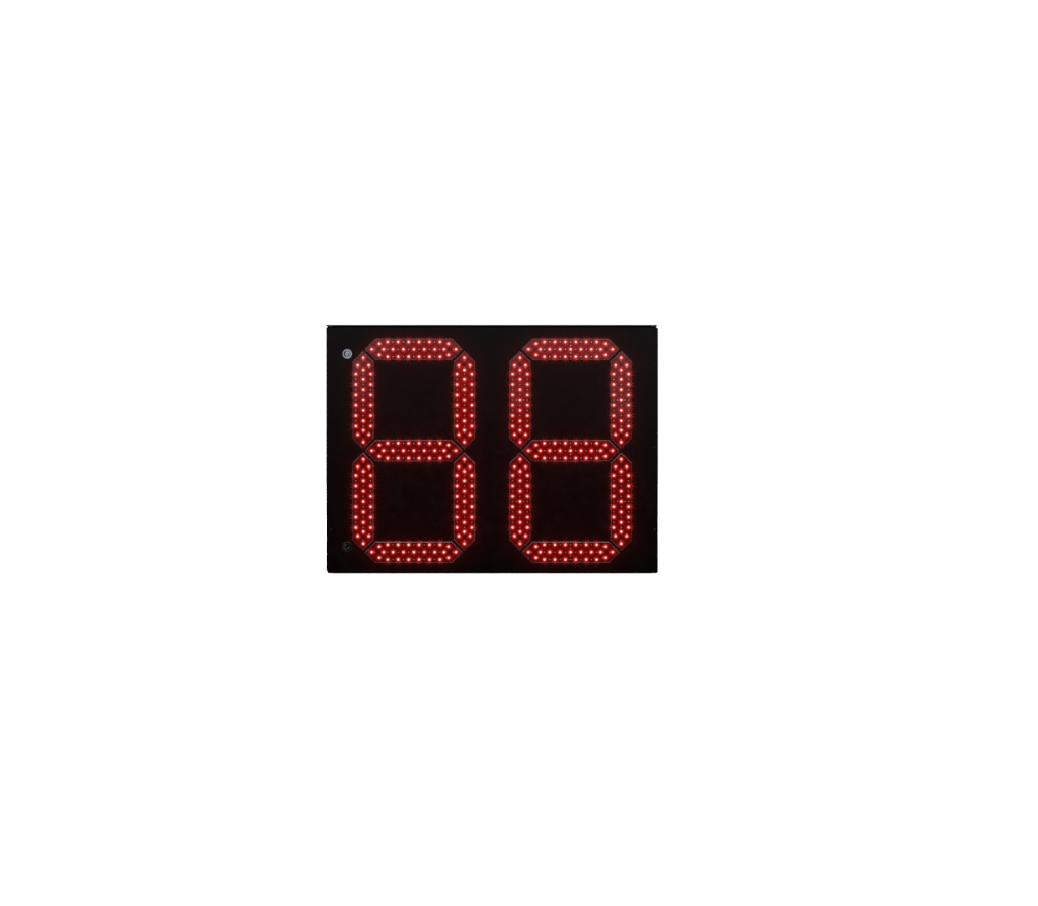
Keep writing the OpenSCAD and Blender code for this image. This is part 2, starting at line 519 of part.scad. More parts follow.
/* ---- quarter-turn locks ---- */
head_r = lock_d / 2;
module lock_bodies() color([0.6, 0.61, 0.63]) for (z = LOCKS) difference() {
    union() {
        translate([-lock_x, y_face, z]) rotate([90, 0, 0]) rotate_extrude() polygon([
            [0, 0], [head_r, 0], [head_r, 2.6], [head_r - 0.5, 3.5], [head_r - 1.2, 4], [0, 4]]);
        rod(8, y_face, y_rim_in - 0.2, -lock_x, z);
    }
    rod(10.05, y_lock - 1, y_lock + 2.5, -lock_x, z);
    rod(6, y_lock, y_rim_in + 1, -lock_x, z);
}
module lock_nuts() color([0.55, 0.56, 0.58]) for (z = LOCKS) difference() {
    rod(11.5, y_in, y_in + 4, -lock_x, z, 6);
    rod(8.05, y_in - 1, y_in + 5, -lock_x, z);
}
module lock_core(z) difference() {
    union() {
        rod(10, y_lock + 0.3, y_lock + 2.4, -lock_x, z);
        rod(5.95, y_lock + 2, y_rim_in + 0.6, -lock_x, z);
        block([-lock_x - 3.5, y_rim_in + 0.6, z - 3.5], [-lock_x + 3.5, y_rim_in + 3.3, z + 3.5]);
        rod(2.4, y_rim_in + 3.3, y_rim_in + 9, -lock_x, z, 24);
    }
    difference() {
        rod(7.8, y_lock - 1, y_lock + 1.5, -lock_x, z);
        rod(6.1, y_lock - 2, y_lock + 2, -lock_x, z);
    }
    translate([-lock_x, 0, z]) rotate([0, -33, 0]) block([-3.6, y_lock - 1, -0.9], [3.6, y_lock + 6, 0.9]);
}
module lock_cam(z) {
    y0 = y_rim_in + 0.7;
    difference() {
        union() {
            rod(9, y0, y0 + 2.5, -lock_x, z);
            block([-lock_x - 6.5, y0, z - 27], [-lock_x + 6.5, y0 + 2.5, z]);
            rod(6.5, y0, y0 + 2.5, -lock_x, z - 27);
        }
        block([-lock_x - 3.55, y0 - 1, z - 3.55], [-lock_x + 3.55, y0 + 4, z + 3.55]);
    }
    difference() {
        rod(4.6, y0 + 2.6, y0 + 6.4, -lock_x, z, 6);
        rod(2.45, y0 + 2, y0 + 7, -lock_x, z, 24);
    }
}
module lock_core_upper() color([0.66, 0.68, 0.72]) lock_core(lock_z2);
module lock_cam_upper() color([0.6, 0.61, 0.63]) lock_cam(lock_z2);
module lock_core_lower() color([0.66, 0.68, 0.72]) lock_core(lock_z1);
module lock_cam_lower() color([0.6, 0.61, 0.63]) lock_cam(lock_z1);

housing_wrap();
back_panel();
back_screws();
rain_hood();
mount_rail_lower();
mount_rail_upper();
rail_bolts();
rail_nuts();
hinge_leaves_case();
hinge_pins();
hinge_screws();
gland_body();
gland_dome_nut();
gland_locknut();
vent_plug();
earth_stud();
earth_nuts();
chassis_plate();
chassis_posts();
power_supply();
power_terminals();
terminal_block();
controller_board();
controller_parts();
test_switch_body();
test_button();
dc_lead();
mains_lead();
loom_case();
loom_crossing();
door_panel();
door_frame();
door_stiffener();
door_gasket();
door_rivets();
hinge_leaves_door();
lens_left();
lens_right();
shroud_left();
shroud_right();
potting_left();
potting_right();
board_left();
board_right();
red_leds_left();
red_leds_right();
second_leds_left();
second_leds_right();
segment_screws();
board_posts();
board_nuts();
driver_parts();
ribbon_link();
loom_door();
lock_bodies();
lock_nuts();
lock_core_upper();
lock_cam_upper();
lock_core_lower();
lock_cam_lower();
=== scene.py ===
import bpy, bmesh, json, math
import numpy as np
from mathutils import Vector, Matrix


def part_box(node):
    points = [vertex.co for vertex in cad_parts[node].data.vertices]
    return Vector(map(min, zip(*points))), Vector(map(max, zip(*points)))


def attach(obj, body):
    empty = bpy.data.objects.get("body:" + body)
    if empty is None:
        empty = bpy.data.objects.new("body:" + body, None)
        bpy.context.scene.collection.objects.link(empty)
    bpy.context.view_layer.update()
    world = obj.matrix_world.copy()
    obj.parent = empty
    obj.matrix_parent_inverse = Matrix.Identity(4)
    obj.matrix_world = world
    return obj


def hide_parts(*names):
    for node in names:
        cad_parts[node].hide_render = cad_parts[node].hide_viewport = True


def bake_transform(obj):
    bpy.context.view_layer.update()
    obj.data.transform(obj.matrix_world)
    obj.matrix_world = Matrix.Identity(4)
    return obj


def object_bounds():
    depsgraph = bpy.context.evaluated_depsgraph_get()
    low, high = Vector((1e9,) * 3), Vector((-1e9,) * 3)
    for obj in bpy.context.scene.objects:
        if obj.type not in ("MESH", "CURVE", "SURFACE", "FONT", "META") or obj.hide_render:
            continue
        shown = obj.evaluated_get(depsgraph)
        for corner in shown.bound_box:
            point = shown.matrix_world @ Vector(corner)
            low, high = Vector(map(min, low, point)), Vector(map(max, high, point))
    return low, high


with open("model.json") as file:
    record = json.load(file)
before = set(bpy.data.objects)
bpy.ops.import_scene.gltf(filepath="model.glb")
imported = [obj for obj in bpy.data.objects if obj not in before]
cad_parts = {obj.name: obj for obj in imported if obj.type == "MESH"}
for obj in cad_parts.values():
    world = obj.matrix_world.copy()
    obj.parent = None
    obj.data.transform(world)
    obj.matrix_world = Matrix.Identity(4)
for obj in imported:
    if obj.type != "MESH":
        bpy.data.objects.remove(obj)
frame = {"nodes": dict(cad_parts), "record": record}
CAD_LO, CAD_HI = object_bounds()
NODES = frame["nodes"]
SCENE = bpy.context.scene
MM = 0.001
rng = np.random.default_rng(7)

# ------------------------------------------------------------------ the display's layout
# Places come from the frame's boxes; the grid is the one that part.scad states.
_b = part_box("potting_right")
DIGIT_X = (_b[0][0] + _b[1][0]) / 2
DIGIT_Z = (_b[0][2] + _b[1][2]) / 2
Y_POT = _b[0][1]
Y_BOARD = _b[1][1]
Y_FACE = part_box("door_rivets")[0][1] + 0.9 * MM
SEG = 245 * MM
HALF_W, TIP = 25.4 * MM, 118.4 * MM
PITCH, ROW = 25 * MM, 17.7 * MM
SEGMENTS = [(0, SEG, 0), (0, 0, 0), (0, -SEG, 0)] + [
    (sx * SEG / 2, sz * SEG / 2, 1) for sx in (-1, 1) for sz in (-1, 1)]
RED = ([(u * PITCH, v * ROW) for u in np.arange(-2.5, 3) for v in (-1, 1)]
       + [(u * PITCH, 0.0) for u in range(-2, 3)]
       + [(s * 72.2 * MM, 0.0) for s in (-1, 1)] + [(s * 102.3 * MM, 0.0) for s in (-1, 1)]
       + [(s * 84.6 * MM, v * 13.3 * MM) for s in (-1, 1) for v in (-1, 1)])
SECOND = ([(u * PITCH, v * ROW) for u in range(-2, 3) for v in (-1, 1)]
          + [(u * PITCH, 0.0) for u in np.arange(-2.5, 3)])
EXTRA = [(0.0, s * 9 * MM) for s in (-1, 1)]
SCREW_U = 86.5 * MM
# how brightly each segment's potting glows: a, g, d, then e, f, c, b
LIFT = {-1: (1.55, 1.28, 1.05, 1.25, 1.25, 1.50, 1.80), 1: (1.75, 1.30, 1.20, 1.35, 1.70, 0.98, 1.15)}
# and how pale and bright the painted highlight on its unlit heads is
UNLIT_GLINT = {-1: (2.35, 1.35, 0.72, 1.0, 1.72, 0.87, 1.4), 1: (2.85, 1.6, 0.75, 0.87, 1.75, 1.0, 2.0)}


# ------------------------------------------------------------------ node helpers
class Nodes:
    def __init__(self, mat):
        self.t = mat.node_tree
        self.t.nodes.clear()

    def add(self, kind, **k):
        n = self.t.nodes.new(kind)
        for a, b in k.items():
            setattr(n, a, b)
        return n

    def put(self, socket, v):
        if v is None:
            return
        if hasattr(v, "is_linked") or isinstance(v, bpy.types.NodeSocket):
            self.t.links.new(v, socket)
        else:
            socket.default_value = v

    def math(self, op, a, b=None, c=None, clamp=False):
        n = self.add("ShaderNodeMath", operation=op, use_clamp=clamp)
        for s, v in zip(n.inputs, (a, b, c)):
            self.put(s, v)
        return n.outputs[0]

    def noise(self, vec, scale, detail=3.0, rough=0.55, dist=0.0):
        n = self.add("ShaderNodeTexNoise")
        self.put(n.inputs["Vector"], vec)
        n.inputs["Scale"].default_value = scale
        n.inputs["Detail"].default_value = detail
        n.inputs["Roughness"].default_value = rough
        n.inputs["Distortion"].default_value = dist
        return n.outputs["Fac"]

    def ramp(self, fac, stops):
        n = self.add("ShaderNodeValToRGB")
        r = n.color_ramp
        while len(r.elements) < len(stops):
            r.elements.new(0.5)
        for e, (p, c) in zip(r.elements, stops):
            e.position = p
            e.color = tuple(c) + (1.0,) if len(c) == 3 else c
        self.put(n.inputs[0], fac)
        return n.outputs[0]

    def mix(self, fac, a, b, blend="MIX"):
        n = self.add("ShaderNodeMix", data_type="RGBA", blend_type=blend)
        self.put(n.inputs[0], fac)
        for s, v in ((n.inputs[6], a), (n.inputs[7], b)):
            self.put(s, tuple(v) + (1.0,) if isinstance(v, (tuple, list)) and len(v) == 3 else v)
        return n.outputs[2]

    def remap(self, v, a, b, c, d):
        n = self.add("ShaderNodeMapRange")
        for s, x in zip(n.inputs, (v, a, b, c, d)):
            self.put(s, x)
        return n.outputs[0]

    def obj(self):
        return self.add("ShaderNodeTexCoord").outputs["Object"]

    def scaled(self, vec, s):
        n = self.add("ShaderNodeMapping")
        self.put(n.inputs["Vector"], vec)
        n.inputs["Scale"].default_value = s
        return n.outputs[0]

    def bump(self, height, strength, distance, normal=None):
        n = self.add("ShaderNodeBump")
        n.inputs["Strength"].default_value = strength
        n.inputs["Distance"].default_value = distance
        self.put(n.inputs["Height"], height)
        self.put(n.inputs["Normal"], normal)
        return n.outputs[0]

    def surface(self, **k):
        p = self.add("ShaderNodeBsdfPrincipled")
        for a, v in k.items():
            name = {"base": "Base Color", "rough": "Roughness", "metal": "Metallic", "normal": "Normal",
                    "emit": "Emission Color", "power": "Emission Strength", "spec": "Specular IOR Level",
                    "coat": "Coat Weight", "coat_rough": "Coat Roughness", "ior": "IOR", "alpha": "Alpha",
                    "trans": "Transmission Weight"}[a]
            if isinstance(v, (tuple, list)) and len(v) == 3:
                v = tuple(v) + (1.0,)
            self.put(p.inputs[name], v)
        self.out(p.outputs[0])
        return p

    def out(self, shader):
        o = self.add("ShaderNodeOutputMaterial")
        self.t.links.new(shader, o.inputs["Surface"])


def material(name, quiet=False):
    m = bpy.data.materials.new(name)
    m.use_nodes = True
    if quiet:
        m.cycles.emission_sampling = "NONE"
    return m, Nodes(m)


def mottled(n, vec, colour, amount, scale):
    """A colour with slow lighter and darker patches."""
    f = n.noise(vec, scale, 4.0, 0.6)
    lo = tuple(c * (1 - amount) for c in colour)
    hi = tuple(min(1, c * (1 + amount)) for c in colour)
    return n.ramp(f, [(0.3, lo), (0.7, hi)])


# ------------------------------------------------------------------ materials
def powder_coat(name, colour, rough, peel=0.25, spill=None, spec=0.5, dusty_by=0.16, painted_glints=None):
    m, n = material(name, quiet=True)
    co = n.obj()
    base = mottled(n, co, colour, 0.18, 9.0)
    dust = n.noise(co, 38.0, 6.0, 0.62)
    speck = n.noise(co, 900.0, 2.0, 0.5)
    dusty = n.remap(dust, 0.52, 0.78, 0.0, dusty_by)
    base = n.mix(dusty, base, (0.06, 0.058, 0.055))
    # painted glints on some heads, used for the rivets
    if painted_glints:
        base = painted_glints(n, co, base)
    r = n.math("ADD", n.remap(dust, 0.3, 0.75, rough - 0.05, rough + 0.09), n.remap(speck, 0.3, 0.7, -0.02, 0.02))
    fine = n.noise(co, 700.0, 2.0, 0.5)
    coarse = n.noise(co, 260.0, 2.0, 0.5)
    h = n.math("ADD", n.math("MULTIPLY", fine, 0.35), n.math("MULTIPLY", coarse, 0.65))
    nrm = n.bump(h, peel, 0.0004)
    k = dict(base=base, rough=r, normal=nrm, spec=spec)
    if spill:
        k["emit"], k["power"] = spill(n, co)
    n.surface(**k)
    return m


def rivet_glints(n, co, base):
    """Painted glints: the rivet heads on the right are made lighter grey, the lowest most, and the low ones on the
    left a little.
    """
    M = n.math
    s = n.add("ShaderNodeSeparateXYZ")
    n.put(s.inputs[0], co)
    right = M("GREATER_THAN", s.outputs[0], 0.37)
    left = M("MULTIPLY", M("LESS_THAN", s.outputs[0], -0.37), M("LESS_THAN", s.outputs[2], 0.2))
    glint_share = M("MULTIPLY", right, n.remap(s.outputs[2], 0.12, 0.29, 0.42, 0.24))
    glint_share = M("ADD", glint_share, M("MULTIPLY", left, 0.10))
    grain = n.remap(n.noise(co, 900.0, 3.0), 0.3, 0.7, 0.8, 1.2)
    return n.mix(M("MULTIPLY", glint_share, grain, clamp=True), base, (0.034, 0.032, 0.033))


def segment_distance(n, co):
    """Metres from a point of the face to the nearest segment outline, and the place along that segment's row."""
    s = n.add("ShaderNodeSeparateXYZ")
    n.put(s.inputs[0], co)
    M = n.math
    x = M("ABSOLUTE", M("SUBTRACT", M("ABSOLUTE", s.outputs[0]), DIGIT_X))
    z = M("ABSOLUTE", M("SUBTRACT", s.outputs[2], DIGIT_Z))

    def hexd(u, v):
        return M("MAXIMUM", M("SUBTRACT", v, HALF_W), M("MULTIPLY", M("SUBTRACT", M("ADD", u, v), TIP), 0.70711))

    ends = hexd(x, M("ABSOLUTE", M("SUBTRACT", z, SEG)))
    mid = hexd(x, z)
    side_u = M("ABSOLUTE", M("SUBTRACT", z, SEG / 2))
    side = hexd(side_u, M("ABSOLUTE", M("SUBTRACT", x, SEG / 2)))
    flat = M("MINIMUM", ends, mid)
    d = M("MAXIMUM", M("MINIMUM", flat, side), 0.0)
    is_side = M("LESS_THAN", side, flat)
    along = M("ADD", M("MULTIPLY", is_side, side_u), M("MULTIPLY", M("SUBTRACT", 1.0, is_side), x))
    return d, along


def red_spill(n, co):
    """Red light that the lit segments throw on the door round them: short rays beside each LED of the outer rows,
    and a wide faint glow."""
    M = n.math
    d, along = segment_distance(n, co)

    def fall(a, lam):
        return M("MULTIPLY", M("EXPONENT", M("MULTIPLY", d, -1.0 / lam)), a)

    du = M("MULTIPLY", M("SUBTRACT", M("FRACT", M("DIVIDE", along, PITCH)), 0.5), PITCH)
    w = M("ADD", d, HALF_W - ROW)
    r = M("SQRT", M("ADD", M("MULTIPLY", du, du), M("MULTIPLY", w, w)))
    th = M("ARCTAN2", du, w)
    # each LED's rays are turned by their own amount
    s = n.add("ShaderNodeSeparateXYZ")
    n.put(s.inputs[0], co)
    key = n.add("ShaderNodeCombineXYZ")
    n.put(key.inputs[0], M("FLOOR", M("DIVIDE", M("ADD", M("SUBTRACT", s.outputs[0], DIGIT_X), 0.025), 0.05)))
    n.put(key.inputs[1], M("FLOOR", M("DIVIDE", M("SUBTRACT", s.outputs[2], DIGIT_Z), 0.05)))
    n.put(key.inputs[2], M("FLOOR", M("DIVIDE", along, PITCH)))
    own = n.add("ShaderNodeTexWhiteNoise")
    n.put(own.inputs["Vector"], key.outputs[0])
    turned = M("ADD", th, M("MULTIPLY", own.outputs["Value"], 0.58))
    rays = M("POWER", M("ADD", M("MULTIPLY", M("COSINE", M("MULTIPLY", turned, 2 * math.pi / 0.58)), 0.5), 0.5), 3.2)
    size = M("ADD", 0.55, M("MULTIPLY", M("FRACT", M("MULTIPLY", own.outputs["Value"], 7.3)), 0.9))
    past = M("SUBTRACT", r, HALF_W - ROW)

    def fade(a, lam):
        return M("MULTIPLY", M("EXPONENT", M("MULTIPLY", past, -1.0 / lam)), a)

    near = M("ADD", fade(0.06, 0.0015),
             M("MULTIPLY", M("MULTIPLY", rays, size), M("ADD", fade(0.46, 0.0021), fade(0.050, 0.0045))))
    row = M("MULTIPLY", near, M("LESS_THAN", along, 0.075))
    # inside a digit and between the two, light comes from more than one side
    ax = M("ABSOLUTE", s.outputs[0])
    hole = M("MULTIPLY", M("LESS_THAN", M("ABSOLUTE", M("SUBTRACT", ax, DIGIT_X)), SEG / 2),
             M("LESS_THAN", M("ABSOLUTE", M("SUBTRACT", s.outputs[2], DIGIT_Z)), SEG))
    between = M("MULTIPLY", M("LESS_THAN", ax, DIGIT_X - SEG / 2),
                n.remap(M("ABSOLUTE", M("SUBTRACT", s.outputs[2], DIGIT_Z)), SEG * 0.75, SEG * 1.15, 1.0, 0.0))
    many = M("ADD", M("MULTIPLY", M("MULTIPLY", hole, d), 3.0 / 0.097), M("MULTIPLY", M("MULTIPLY", between, d), 1.2 / 0.041))
    far = M("MULTIPLY", fall(0.0044, 0.060), M("ADD", many, 1.0))
    total = M("ADD", M("ADD", row, fall(0.014, 0.0018)), M("ADD", fall(0.0112, 0.013), far))
    total = M("MULTIPLY", total, M("LESS_THAN", s.outputs[1], Y_FACE + 0.0007))
    return (1.0, 0.03, 0.035, 1.0), total


def plastic(name, colour, rough, grain=0.15, scale=900.0, spec=0.5, glow=None):
    m, n = material(name, quiet=True)
    co = n.obj()
    base = mottled(n, co, colour, 0.12, 25.0)
    f = n.noise(co, scale, 3.0, 0.6)
    r = n.remap(n.noise(co, 60.0, 4.0), 0.3, 0.7, rough - 0.06, rough + 0.07)
    k = dict(base=base, rough=r, normal=n.bump(f, grain, 0.0002), spec=spec)
    if glow:
        k["emit"] = mottled(n, co, glow, 0.3, 160.0)
        k["power"] = 1.0
    n.surface(**k)
    return m


def zinc(name, colour, rough, spangle=True, metal=1.0, brushed=0.0, spread=1.0):
    m, n = material(name)
    co = n.obj()
    if spangle:
        v = n.add("ShaderNodeTexVoronoi", feature="F1")
        n.put(v.inputs["Vector"], co)
        v.inputs["Scale"].default_value = 130.0
        tone = n.remap(v.outputs["Color"], 0.0, 1.0, 0.88, 1.06)
        base = n.mix(1.0, n.ramp(n.noise(co, 14.0, 5.0), [(0.3, tuple(c * 0.9 for c in colour)), (0.7, colour)]), tone, "MULTIPLY")
        r = n.remap(v.outputs["Color"], 0.0, 1.0, rough - 0.04, rough + 0.05)
    else:
        base = mottled(n, co, colour, 0.14, 30.0)
        r = n.remap(n.noise(co, 90.0, 5.0), 0.3, 0.7, rough - 0.07 * spread, rough + 0.1 * spread)
    streak = n.noise(n.scaled(co, (60.0, 60.0, 1400.0) if brushed else (700.0, 700.0, 700.0)), 1.0, 3.0)
    n.surface(base=base, rough=r, metal=metal, normal=n.bump(streak, (0.12 + brushed) * spread, 0.0002))
    return m


def lens_material():
    """Clear polycarbonate: mostly see-through, with a hard shine that grows towards the edge-on view."""
    m, n = material("lens_clear")
    co = n.obj()
    wave = n.noise(co, 9.0, 1.0, 0.4)
    fine = n.noise(co, 420.0, 4.0, 0.6)
    nrm = n.bump(wave, 0.10, 0.004)
    gloss = n.add("ShaderNodeBsdfGlossy")
    gloss.inputs["Color"].default_value = (1, 1, 1, 1)
    n.put(gloss.inputs["Roughness"], n.remap(fine, 0.3, 0.7, 0.06, 0.10))
    n.put(gloss.inputs["Normal"], nrm)
    clear = n.add("ShaderNodeBsdfTransparent")
    clear.inputs["Color"].default_value = (0.98, 0.965, 0.965, 1)
    face = n.add("ShaderNodeLayerWeight")
    face.inputs["Blend"].default_value = 0.5
    gleam = n.math("ADD", n.math("MULTIPLY", n.math("POWER", face.outputs["Facing"], 5.0), 0.95), 0.047)
    mix = n.add("ShaderNodeMixShader")
    n.put(mix.inputs[0], gleam)
    n.t.links.new(clear.outputs[0], mix.inputs[1])
    n.t.links.new(gloss.outputs[0], mix.inputs[2])
    # the cut edges and the bevel are slightly frosted
    s = n.add("ShaderNodeSeparateXYZ")
    n.put(s.inputs[0], n.add("ShaderNodeTexCoord").outputs["Normal"])
    M = n.math
    edge = M("LESS_THAN", M("ABSOLUTE", s.outputs[1]), 0.9)
    upright = n.remap(M("SUBTRACT", M("ABSOLUTE", s.outputs[0]), M("ABSOLUTE", s.outputs[2])), 0.1, 0.5, 1.0, 0.5)
    pl = n.add("ShaderNodeSeparateXYZ")
    n.put(pl.inputs[0], co)
    crest = n.remap(pl.outputs[1], Y_FACE - 0.0024, Y_FACE - 0.0004, 1.5, 0.3)
    upper = n.remap(s.outputs[2], 0.3, 0.6, 1.0, 1.2)
    share = M("MULTIPLY", M("MULTIPLY", edge, 0.052), M("MULTIPLY", M("MULTIPLY", upright, upper), crest))
    frost = n.add("ShaderNodeBsdfDiffuse")
    n.put(frost.inputs["Color"], n.ramp(n.noise(co, 60.0, 4.0), [(0.3, (0.90, 0.60, 0.62)), (0.7, (1.0, 0.80, 0.82))]))
    rim = n.add("ShaderNodeMixShader")
    n.put(rim.inputs[0], share)
    n.t.links.new(mix.outputs[0], rim.inputs[1])
    n.t.links.new(frost.outputs[0], rim.inputs[2])
    n.out(rim.outputs[0])
    return m


def glow_material(name, base, rough, spec=0.5, strength=1.0):
    """A surface lit by the LEDs beside it: the light is in the mesh's glow colours."""
    m, n = material(name, quiet=True)
    a = n.add("ShaderNodeAttribute", attribute_name="glow")
    co = n.obj()
    f = n.noise(co, 500.0, 4.0, 0.6)
    tone = n.remap(f, 0.25, 0.75, 0.86, 1.12)
    emit = n.mix(1.0, a.outputs["Color"], tone, "MULTIPLY")
    n.surface(base=mottled(n, co, base, 0.2, 120.0), rough=rough, emit=emit, power=strength, spec=spec,
              normal=n.bump(f, 0.3, 0.0003))
    return m


def lock_core_material():
    """A bluish plated lock barrel. Its groove and key slot get painted shade, most on the left side, and the lower
    lock's barrel gets a darker, warmer tone, also painted shade.
    """
    m, n = material("lock_core")
    co = n.obj()
    M = n.math
    s = n.add("ShaderNodeSeparateXYZ")
    n.put(s.inputs[0], co)
    x = M("SUBTRACT", s.outputs[0], LOCK_X)
    z = M("SUBTRACT", s.outputs[2], LOCK_Z[0])
    z2 = M("SUBTRACT", s.outputs[2], LOCK_Z[1])
    low = M("LESS_THAN", M("ABSOLUTE", z), M("ABSOLUTE", z2))
    z = M("ADD", M("MULTIPLY", low, z), M("MULTIPLY", M("SUBTRACT", 1.0, low), z2))
    ang = M("ABSOLUTE", M("ARCTAN2", z, M("MULTIPLY", x, -1.0)))
    side = n.remap(ang, 0.75, 1.5, 1.0, 0.25)
    deep = n.remap(s.outputs[1], Y_LOCK + 0.0006, Y_LOCK + 0.0011, 0.0, 1.0)
    r = M("SQRT", M("ADD", M("MULTIPLY", x, x), M("MULTIPLY", z, z)))
    outer = n.remap(r, 0.0052, 0.0058, 0.0, 1.0)
    # along the key slot, from its upper left to its lower right
    aslant = M("SUBTRACT", M("MULTIPLY", x, 0.8), M("MULTIPLY", z, 0.6))
    slot = M("MULTIPLY", M("SUBTRACT", 0.9, outer, clamp=True), n.remap(aslant, 0.0002, 0.0022, 0.0, 0.8))
    # painted shade in the groove round the plug, most on the left, and in the key slot
    recess_shade = M("MULTIPLY", deep, M("MAXIMUM", M("MULTIPLY", outer, side), slot, clamp=True))
    recess_shade = M("MULTIPLY", recess_shade, M("SUBTRACT", 1.0, M("MULTIPLY", low, 0.5)))
    # painted shade: a dark streak along the slot, to the lower right of the middle
    sx, sz = M("SUBTRACT", x, 0.0024), M("ADD", z, 0.0022)
    run = M("MULTIPLY", M("ADD", M("MULTIPLY", sx, 0.81), M("MULTIPLY", sz, 0.58)), 0.45)
    off = M("SUBTRACT", M("MULTIPLY", sz, 0.81), M("MULTIPLY", sx, 0.58))
    away = M("SQRT", M("ADD", M("MULTIPLY", run, run), M("MULTIPLY", off, off)))
    recess_shade = M("MAXIMUM", recess_shade, n.remap(away, 0.0006, 0.0016, 0.85, 0.0))
    core_tone = mottled(n, co, (0.56, 0.60, 0.73), 0.2, 330.0)
    core_tone = n.mix(1.0, core_tone, n.remap(r, 0.0010, 0.0026, 1.08, 0.80), "MULTIPLY")
    # painted shade: the lower lock's barrel is given a darker, warmer tone
    core_tone = n.mix(M("MULTIPLY", low, 0.85), core_tone, (0.38, 0.29, 0.29))
    # painted shade in the ring round the barrel, on the left side
    groove_shade = M("MULTIPLY", M("MULTIPLY", n.remap(r, 0.0050, 0.0060, 0.0, 1.0), n.remap(r, 0.0078, 0.0088, 1.0, 0.0)),
              n.remap(n.math("ADD", ang, n.noise(co, 500.0, 2.0)), 1.1, 1.8, 1.0, 0.0))
    recess_shade = M("MAXIMUM", recess_shade, groove_shade)
    base = n.mix(recess_shade, core_tone, (0.006, 0.007, 0.012))
    rough = n.math("ADD", n.remap(n.noise(co, 400.0, 4.0), 0.3, 0.7, 0.03, 0.06), M("MULTIPLY", recess_shade, 0.5))
    metal = n.math("SUBTRACT", 1.0, M("MULTIPLY", recess_shade, 0.9))
    n.surface(base=base, rough=rough, metal=metal, normal=n.bump(n.noise(co, 300.0, 3.0), 0.03, 0.0002))
    return m


def lock_body_material():
    """Chromed lock heads with painted shade round the rim; the lower one has a warmer tone and painted shade all over
    but for an arc at the upper left.
    """
    m, n = material("lock_chrome")
    co = n.obj()
    M = n.math
    s = n.add("ShaderNodeSeparateXYZ")
    n.put(s.inputs[0], co)
    x = M("SUBTRACT", s.outputs[0], LOCK_X)
    z1 = M("SUBTRACT", s.outputs[2], LOCK_Z[0])
    z2 = M("SUBTRACT", s.outputs[2], LOCK_Z[1])
    low = M("LESS_THAN", M("ABSOLUTE", z1), M("ABSOLUTE", z2))
    z = M("ADD", M("MULTIPLY", low, z1), M("MULTIPLY", M("SUBTRACT", 1.0, low), z2))
    r = M("SQRT", M("ADD", M("MULTIPLY", x, x), M("MULTIPLY", z, z)))
    front = M("LESS_THAN", s.outputs[1], Y_FACE - 0.0002)
    # painted shade round the outer rim of each head's face
    rim = M("MULTIPLY", n.remap(r, 0.0108, 0.0117, 0.0, 0.94), front)
    turn = M("ABSOLUTE", M("SUBTRACT", M("ARCTAN2", z, x), math.radians(115)))
    # painted shade over the lower head, lightest in an arc at the upper left
    lower_shade = M("MULTIPLY", M("MULTIPLY", low, front), n.remap(turn, 0.7, 1.2, 0.35, 0.80))
    base = mottled(n, co, (0.66, 0.66, 0.69), 0.14, 30.0)
    # painted shade: the lower head gets a warmer, darker tone
    base = n.mix(M("MULTIPLY", low, 0.8), base, (0.60, 0.50, 0.50))
    base = n.mix(M("MAXIMUM", rim, lower_shade), base, (0.012, 0.011, 0.012))
    rough = M("ADD", n.remap(n.noise(co, 90.0, 5.0), 0.3, 0.7, 0.04, 0.065), M("MULTIPLY", M("MAXIMUM", rim, lower_shade), 0.12))
    n.surface(base=base, rough=rough, metal=1.0, normal=n.bump(n.noise(co, 700.0, 3.0), 0.018, 0.0002))
    return m


def board_material():
    """Solder mask over copper: paler tracks in both directions, broken up in groups."""
    m, n = material("board_mask")
    co = n.obj()
    M = n.math
    s = n.add("ShaderNodeSeparateXYZ")
    n.put(s.inputs[0], co)

    def tracks(across, along, seed):
        f = M("ABSOLUTE", M("SUBTRACT", M("FRACT", M("MULTIPLY", across, 260.0)), 0.5))
        line = M("LESS_THAN", f, 0.2)
        cell = n.add("ShaderNodeCombineXYZ")
        n.put(cell.inputs[0], M("FLOOR", M("MULTIPLY", across, 45.0)))
        n.put(cell.inputs[1], M("FLOOR", M("MULTIPLY", along, 21.0)))
        cell.inputs[2].default_value = seed
        wn = n.add("ShaderNodeTexWhiteNoise")
        n.put(wn.inputs["Vector"], cell.outputs[0])
        return M("MULTIPLY", line, M("GREATER_THAN", wn.outputs["Value"], 0.55))

    t = M("MAXIMUM", tracks(s.outputs[0], s.outputs[2], 1.0), tracks(s.outputs[2], s.outputs[0], 5.0))
    mask = mottled(n, co, (0.010, 0.090, 0.040), 0.12, 25.0)
    base = n.mix(t, mask, (0.022, 0.165, 0.075))
    h = M("ADD", t, M("MULTIPLY", n.noise(co, 700.0, 2.0), 0.3))
    n.surface(base=base, rough=n.remap(n.noise(co, 60.0, 4.0), 0.3, 0.7, 0.24, 0.36), normal=n.bump(h, 0.3, 0.0001))
    return m


_l = [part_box("lock_core_lower"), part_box("lock_core_upper")]
LOCK_X = (_l[0][0][0] + _l[0][1][0]) / 2
LOCK_Z = [(b[0][2] + b[1][2]) / 2 for b in _l]
Y_LOCK = CAD_LO.y

